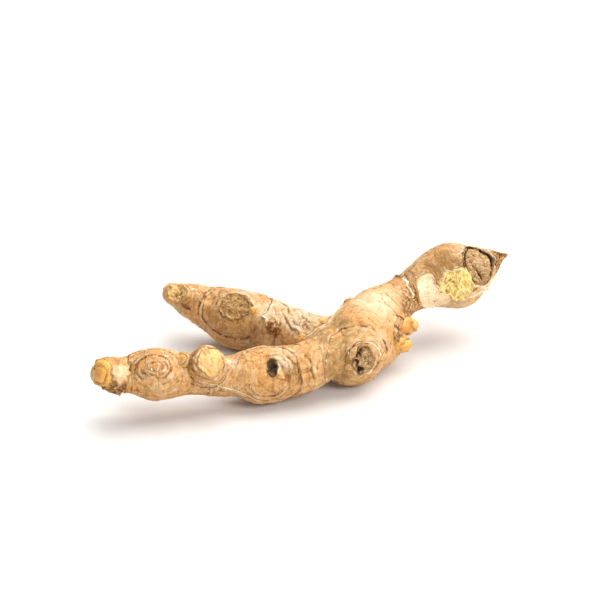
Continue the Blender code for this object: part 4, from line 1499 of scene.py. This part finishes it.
def scatter_tree(name, on_faces):
    """A node tree that strews one shape over a mesh: over its faces, or at each of its points.

    On points, the shape's Z follows the kept vector "growth" and its Y the kept vector "outward".
    """
    tree = bpy.data.node_groups.new(name, "GeometryNodeTree")
    sockets = {}
    for label, kind in (("Surface", "Geometry"), ("Shape", "Object"), ("Per square metre", "Float"),
                        ("Smallest", "Float"), ("Largest", "Float"), ("Tilt", "Float"), ("Seed", "Int"),
                        ("Finish", "Material")):
        sockets[label] = tree.interface.new_socket(label, in_out="INPUT", socket_type="NodeSocket" + kind)
    tree.interface.new_socket("Result", in_out="OUTPUT", socket_type="NodeSocketGeometry")
    given = add_node(tree, "NodeGroupInput").outputs
    if on_faces:
        share = add_node(tree, "GeometryNodeInputNamedAttribute", {"data_type": "FLOAT"}, {"Name": "strewn"})
        density = add_node(tree, "ShaderNodeMath", {"operation": "MULTIPLY"},
                           {0: share.outputs["Attribute"], 1: given["Per square metre"]}).outputs[0]
        spread = add_node(tree, "GeometryNodeDistributePointsOnFaces", {"distribute_method": "RANDOM"}, {
            "Mesh": given["Surface"], "Density": density, "Seed": given["Seed"]})
        points, turn = spread.outputs["Points"], spread.outputs["Rotation"]
    else:
        vectors = [add_node(tree, "GeometryNodeInputNamedAttribute", {"data_type": "FLOAT_VECTOR"},
                            {"Name": field}).outputs["Attribute"] for field in ("growth", "outward")]
        turn = add_node(tree, "FunctionNodeAlignRotationToVector", {"axis": "Z"},
                        {"Vector": vectors[0]}).outputs["Rotation"]
        turn = add_node(tree, "FunctionNodeAlignRotationToVector", {"axis": "Y", "pivot_axis": "Z"},
                        {"Rotation": turn, "Vector": vectors[1]}).outputs["Rotation"]
        points = given["Surface"]
    most = add_node(tree, "ShaderNodeCombineXYZ", None, {
        "X": given["Tilt"], "Y": given["Tilt"], "Z": math.pi if on_faces else 0.5}).outputs[0]
    least = add_node(tree, "ShaderNodeVectorMath", {"operation": "SCALE"},
                     {"Vector": most, "Scale": -1.0}).outputs["Vector"]
    tilt = add_node(tree, "FunctionNodeRandomValue", {"data_type": "FLOAT_VECTOR"}, {
        "Min": least, "Max": most, "Seed": given["Seed"]}).outputs[0]
    turn = add_node(tree, "FunctionNodeRotateRotation", {"rotation_space": "LOCAL"}, {
        "Rotation": turn, "Rotate By": tilt}).outputs["Rotation"]
    size = add_node(tree, "FunctionNodeRandomValue", {"data_type": "FLOAT"}, {
        "Min": given["Smallest"], "Max": given["Largest"], "Seed": given["Seed"]})
    size = next(socket for socket in size.outputs if socket.enabled)
    shape = add_node(tree, "GeometryNodeObjectInfo", None, {"Object": given["Shape"]}).outputs["Geometry"]
    strewn = add_node(tree, "GeometryNodeInstanceOnPoints", None, {
        "Points": points, "Instance": shape, "Rotation": turn, "Scale": size}).outputs["Instances"]
    real = add_node(tree, "GeometryNodeRealizeInstances", None, {"Geometry": strewn}).outputs["Geometry"]
    done = add_node(tree, "GeometryNodeSetMaterial", None, {"Geometry": real, "Material": given["Finish"]})
    add_node(tree, "NodeGroupOutput", None, {0: done.outputs["Geometry"]})
    return tree, {label: socket.identifier for label, socket in sockets.items()}


def strewn_piece(name, surface, shape_mesh, on_faces, settings, material):
    """Strews a shape over a surface mesh with Geometry Nodes and keeps the plain mesh that comes out."""
    scene = bpy.context.scene
    tree, inputs = scatter_tree(name, on_faces)
    shape = bpy.data.objects.new(name + "_shape", shape_mesh)
    carrier = bpy.data.objects.new(name + "_carrier", surface)
    for each in (shape, carrier):
        scene.collection.objects.link(each)
    strew = carrier.modifiers.new("strew", "NODES")
    strew.node_group = tree
    for label, value in {"Shape": shape, "Finish": material, **settings}.items():
        strew[inputs[label]] = value
    result = evaluated_mesh(carrier)
    result.name = name
    for each in (shape, carrier):
        bpy.data.objects.remove(each)
    result.materials.clear()
    result.materials.append(material)
    result.shade_smooth()
    return finished(name, result)


def strewn_share(data, share):
    """A copy of a mesh that keeps how thickly each of its points is strewn."""
    surface = data.copy()
    keep_field(surface, "strewn", share)
    return surface


class OBJECT_OT_ginger_growth(bpy.types.Operator):
    """Strews the sheath shreds along the rings, the corky warts, the root hairs and the torn fibres"""
    bl_idname = "object.ginger_growth"
    bl_label = "Shreds, warts and fibres"

    def execute(self, context):
        look = context.scene.ginger_growth
        skin = bpy.data.objects["skin"].data
        finishes = paper_finishes()
        for name, finish, seed, length, width in (
                ("ring_shreds", "pale sheath paper", 5, 0.75, 1.5),
                ("ring_hairs", "brown sheath paper", 6, 0.8, 0.5)):
            crossings = self.ring_points(skin, look, seed)
            shred = shred_mesh(name, length, width, 0.35, seed)
            strewn_piece(name, crossings, shred, False, {
                "Smallest": 0.5, "Largest": 1.25, "Tilt": 0.35, "Seed": seed}, finishes[finish])
        points, normals = coordinates(skin), point_normals(skin)
        free = self.free_of_scars(points)
        under = smooth_step(0.0, -0.7, normals[:, 2])
        patchy = smooth_step(0.0, 0.8, noise(points, 16, 90))
        warts = free * (0.25 + patchy + 0.8 * under)
        strewn_piece("warts", strewn_share(skin, warts), nub_mesh("wart", 3), True, {
            "Per square metre": look.warts, "Smallest": 0.5, "Largest": 1.3, "Tilt": 0.1, "Seed": 11},
            layered_material("corky wart", "C0905A", (
                patch(1.0, 0.42, 0.6, "E0BC88", 0.7),
                where("height", 0.3, -0.4, "7C5228", 0.7),
            ), (0.6, 0.8), (dict(size=0.4, height=0.1), )))
        hair = shred_mesh("hair", 2.4, 0.32, 0.5, 8)
        strewn_piece("root_hairs", strewn_share(skin, free * under * patchy), hair, True, {
            "Per square metre": look.root_hairs, "Smallest": 0.4, "Largest": 0.9, "Tilt": 0.9, "Seed": 12},
            finishes["brown sheath paper"])
        torn = bpy.data.objects["torn_flesh"].data
        front = (point_normals(torn) @ face_axes(SCARS["torn_flesh"]["out"])[2]) > 0.2
        fibre = shred_mesh("fibre", 1.2, 0.6, 0.5, 9)
        open_flesh = front * (kept_field(torn, "edge") < 0.93)
        strewn_piece("torn_fibres", strewn_share(torn, open_flesh), fibre, True, {
            "Per square metre": look.fibres, "Smallest": 0.4, "Largest": 1.5, "Tilt": 1.3, "Seed": 13},
            layered_material("torn ginger fibre", "FFEAA4", (
                patch(1.2, 0.42, 0.6, "FFF4C8", 0.8),
                where("height", 0.4, 0.0, "F6C75C", 0.7),
            ), (0.35, 0.5), (dict(size=0.4, height=0.1), ), 0.0))
        return {"FINISHED"}

    def free_of_scars(self, points):
        free = np.ones(len(points))
        for scar in SCARS.values():
            free *= smooth_step(0.9, 1.3, away_from(points, scar["at"]) / max(scar["half"]))
        for bud in BUDS.values():
            free *= smooth_step(1.2, 1.7, away_from(points, bud["at"]) / bud["radius"])
        return free * smooth_step(0.4, 1.0, points[:, 2])

    def ring_points(self, skin, look, seed):
        """Points strewn where the rings cross the skin's edges, with the ways their shreds grow."""
        weakest_ring, lowest, sunk = 0.35, 1.5, 0.12
        points, normals = coordinates(skin), point_normals(skin)
        gap, strength = kept_field(skin, "ring_gap"), kept_field(skin, "ring_strength")
        ends = np.zeros(len(skin.edges) * 2, int)
        skin.edges.foreach_get("vertices", ends)
        a, b = ends.reshape(-1, 2).T
        slope = np.zeros((len(points), 3))
        climb = (points[b] - points[a]) * (gap[b] - gap[a])[:, None]
        np.add.at(slope, a, climb)
        np.add.at(slope, b, climb)
        rng = np.random.default_rng(seed)
        crossing = (gap[a] * gap[b] < 0) & (np.abs(gap[a] - gap[b]) < 1.5)
        crossing &= np.minimum(strength[a], strength[b]) > weakest_ring
        crossing &= rng.random(len(a)) < look.ring_cover * np.minimum(strength[a], 1)
        crossing &= points[a, 2] > lowest
        a, b = a[crossing], b[crossing]
        share = (gap[a] / (gap[a] - gap[b]))[:, None]
        place = points[a] * (1 - share) + points[b] * share
        outward = unit(normals[a] + normals[b])
        growth = -unit(slope[a] + 1e-9)
        data = bpy.data.meshes.new("ring_points")
        data.from_pydata(((place - outward * sunk) * MM).tolist(), [], [])
        keep_vectors(data, "growth", unit(growth * 0.8 + outward * 0.55))
        keep_vectors(data, "outward", outward)
        return data


class SCENE_OT_ginger_stage(bpy.types.Operator):
    """Lays the pale floor and sets up the soft studio light and the camera"""
    bl_idname = "scene.ginger_stage"
    bl_label = "Studio"

    def execute(self, context):
        stage, scene = context.scene.ginger_stage, context.scene
        floor_mesh = bpy.data.meshes.new("floor")
        half = 3.0
        floor_mesh.from_pydata(
            [(-half, -half, 0), (half, -half, 0), (half, half, 0), (-half, half, 0)], [], [(0, 1, 2, 3)])
        floor = bpy.data.objects.new("floor", floor_mesh)
        scene.collection.objects.link(floor)
        floor_mesh.materials.append(self.floor_finish())

        world = bpy.data.worlds.new("white room")
        world.use_nodes = True
        tree = world.node_tree
        tree.nodes.clear()
        white = (1.0, 1.0, 1.0, 1.0)
        room = add_node(tree, "ShaderNodeBackground", None, {"Color": white, "Strength": stage.sky})
        wall = add_node(tree, "ShaderNodeBackground", None, {"Color": white, "Strength": 1.0})
        seen = add_node(tree, "ShaderNodeLightPath").outputs["Is Camera Ray"]
        both = add_node(tree, "ShaderNodeMixShader", None, {
            0: seen, 1: room.outputs[0], 2: wall.outputs[0]})
        add_node(tree, "ShaderNodeOutputWorld", None, {"Surface": both.outputs[0]})
        scene.world = world
        scene.view_settings.view_transform = "Standard"

        # The key light is as wide as a large softbox, and as even over the floor as one far away.
        self.light(scene, "key light", "SUN", (0.7, 0.75, 1.8), stage.key_strength, (1.0, 0.99, 0.975), {
            "angle": stage.key_width})
        self.light(scene, "fill light", "AREA", (0.9, -0.9, 0.9), stage.fill_power, (1.0, 1.0, 1.0), {
            "shape": "DISK", "size": 0.6})

        camera_data = bpy.data.cameras.new("camera")
        camera_data.lens = stage.lens
        camera_data.sensor_width = 36.0
        camera = bpy.data.objects.new("camera", camera_data)
        scene.collection.objects.link(camera)
        start, aim = Vector(stage.view_from), Vector(stage.look_at)
        camera.location = start
        camera.rotation_euler = (aim - start).to_track_quat("-Z", "Y").to_euler()
        scene.camera = camera
        return {"FINISHED"}

    def light(self, scene, name, kind, place, strength, colour, settings):
        light_data = bpy.data.lights.new(name, kind)
        light_data.energy = strength
        light_data.color = colour
        for setting, value in settings.items():
            setattr(light_data, setting, value)
        light = bpy.data.objects.new(name, light_data)
        light.location = place
        light.rotation_euler = (-Vector(place)).to_track_quat("-Z", "Y").to_euler()
        scene.collection.objects.link(light)

    def floor_finish(self):
        """White matt laminate."""
        material = bpy.data.materials.new("white matt laminate")
        material.use_nodes = True
        shader = material.node_tree.nodes["Principled BSDF"]
        shader.inputs["Base Color"].default_value = linear("DEDCDA")
        shader.inputs["Roughness"].default_value = 0.8
        shader.inputs["Specular IOR Level"].default_value = 0.2
        return material


class VIEW3D_PT_ginger(bpy.types.Panel):
    """The root's pieces, in the order that they are made"""
    bl_label = "Ginger Root"
    bl_idname = "VIEW3D_PT_ginger"
    bl_space_type = "VIEW_3D"
    bl_region_type = "UI"
    bl_category = "Ginger"

    def draw(self, context):
        for group in PROPERTY_GROUPS:
            box = self.layout.box()
            settings = getattr(context.scene, group)
            for name in type(settings).__annotations__:
                box.prop(settings, name)
        for operator in OPERATORS:
            self.layout.operator(operator.bl_idname)


PROPERTY_GROUPS = {"ginger_skin": GingerSkin, "ginger_growth": GingerGrowth, "ginger_stage": GingerStage}
OPERATORS = (OBJECT_OT_ginger_skin, OBJECT_OT_ginger_scars, OBJECT_OT_ginger_buds, OBJECT_OT_ginger_fringes,
             OBJECT_OT_ginger_growth, SCENE_OT_ginger_stage)
CLASSES = (*PROPERTY_GROUPS.values(), *OPERATORS, VIEW3D_PT_ginger)


def register():
    for each in CLASSES:
        bpy.utils.register_class(each)
    for name, group in PROPERTY_GROUPS.items():
        setattr(bpy.types.Scene, name, PointerProperty(type=group))


def unregister():
    for name in PROPERTY_GROUPS:
        delattr(bpy.types.Scene, name)
    for each in reversed(CLASSES):
        bpy.utils.unregister_class(each)


def main():
    register()
    bpy.ops.object.ginger_skin()
    bpy.ops.object.ginger_scars()
    bpy.ops.object.ginger_buds()
    bpy.ops.object.ginger_fringes()
    bpy.ops.object.ginger_growth()
    bpy.ops.scene.ginger_stage()


if __name__ == "__main__":
    main()
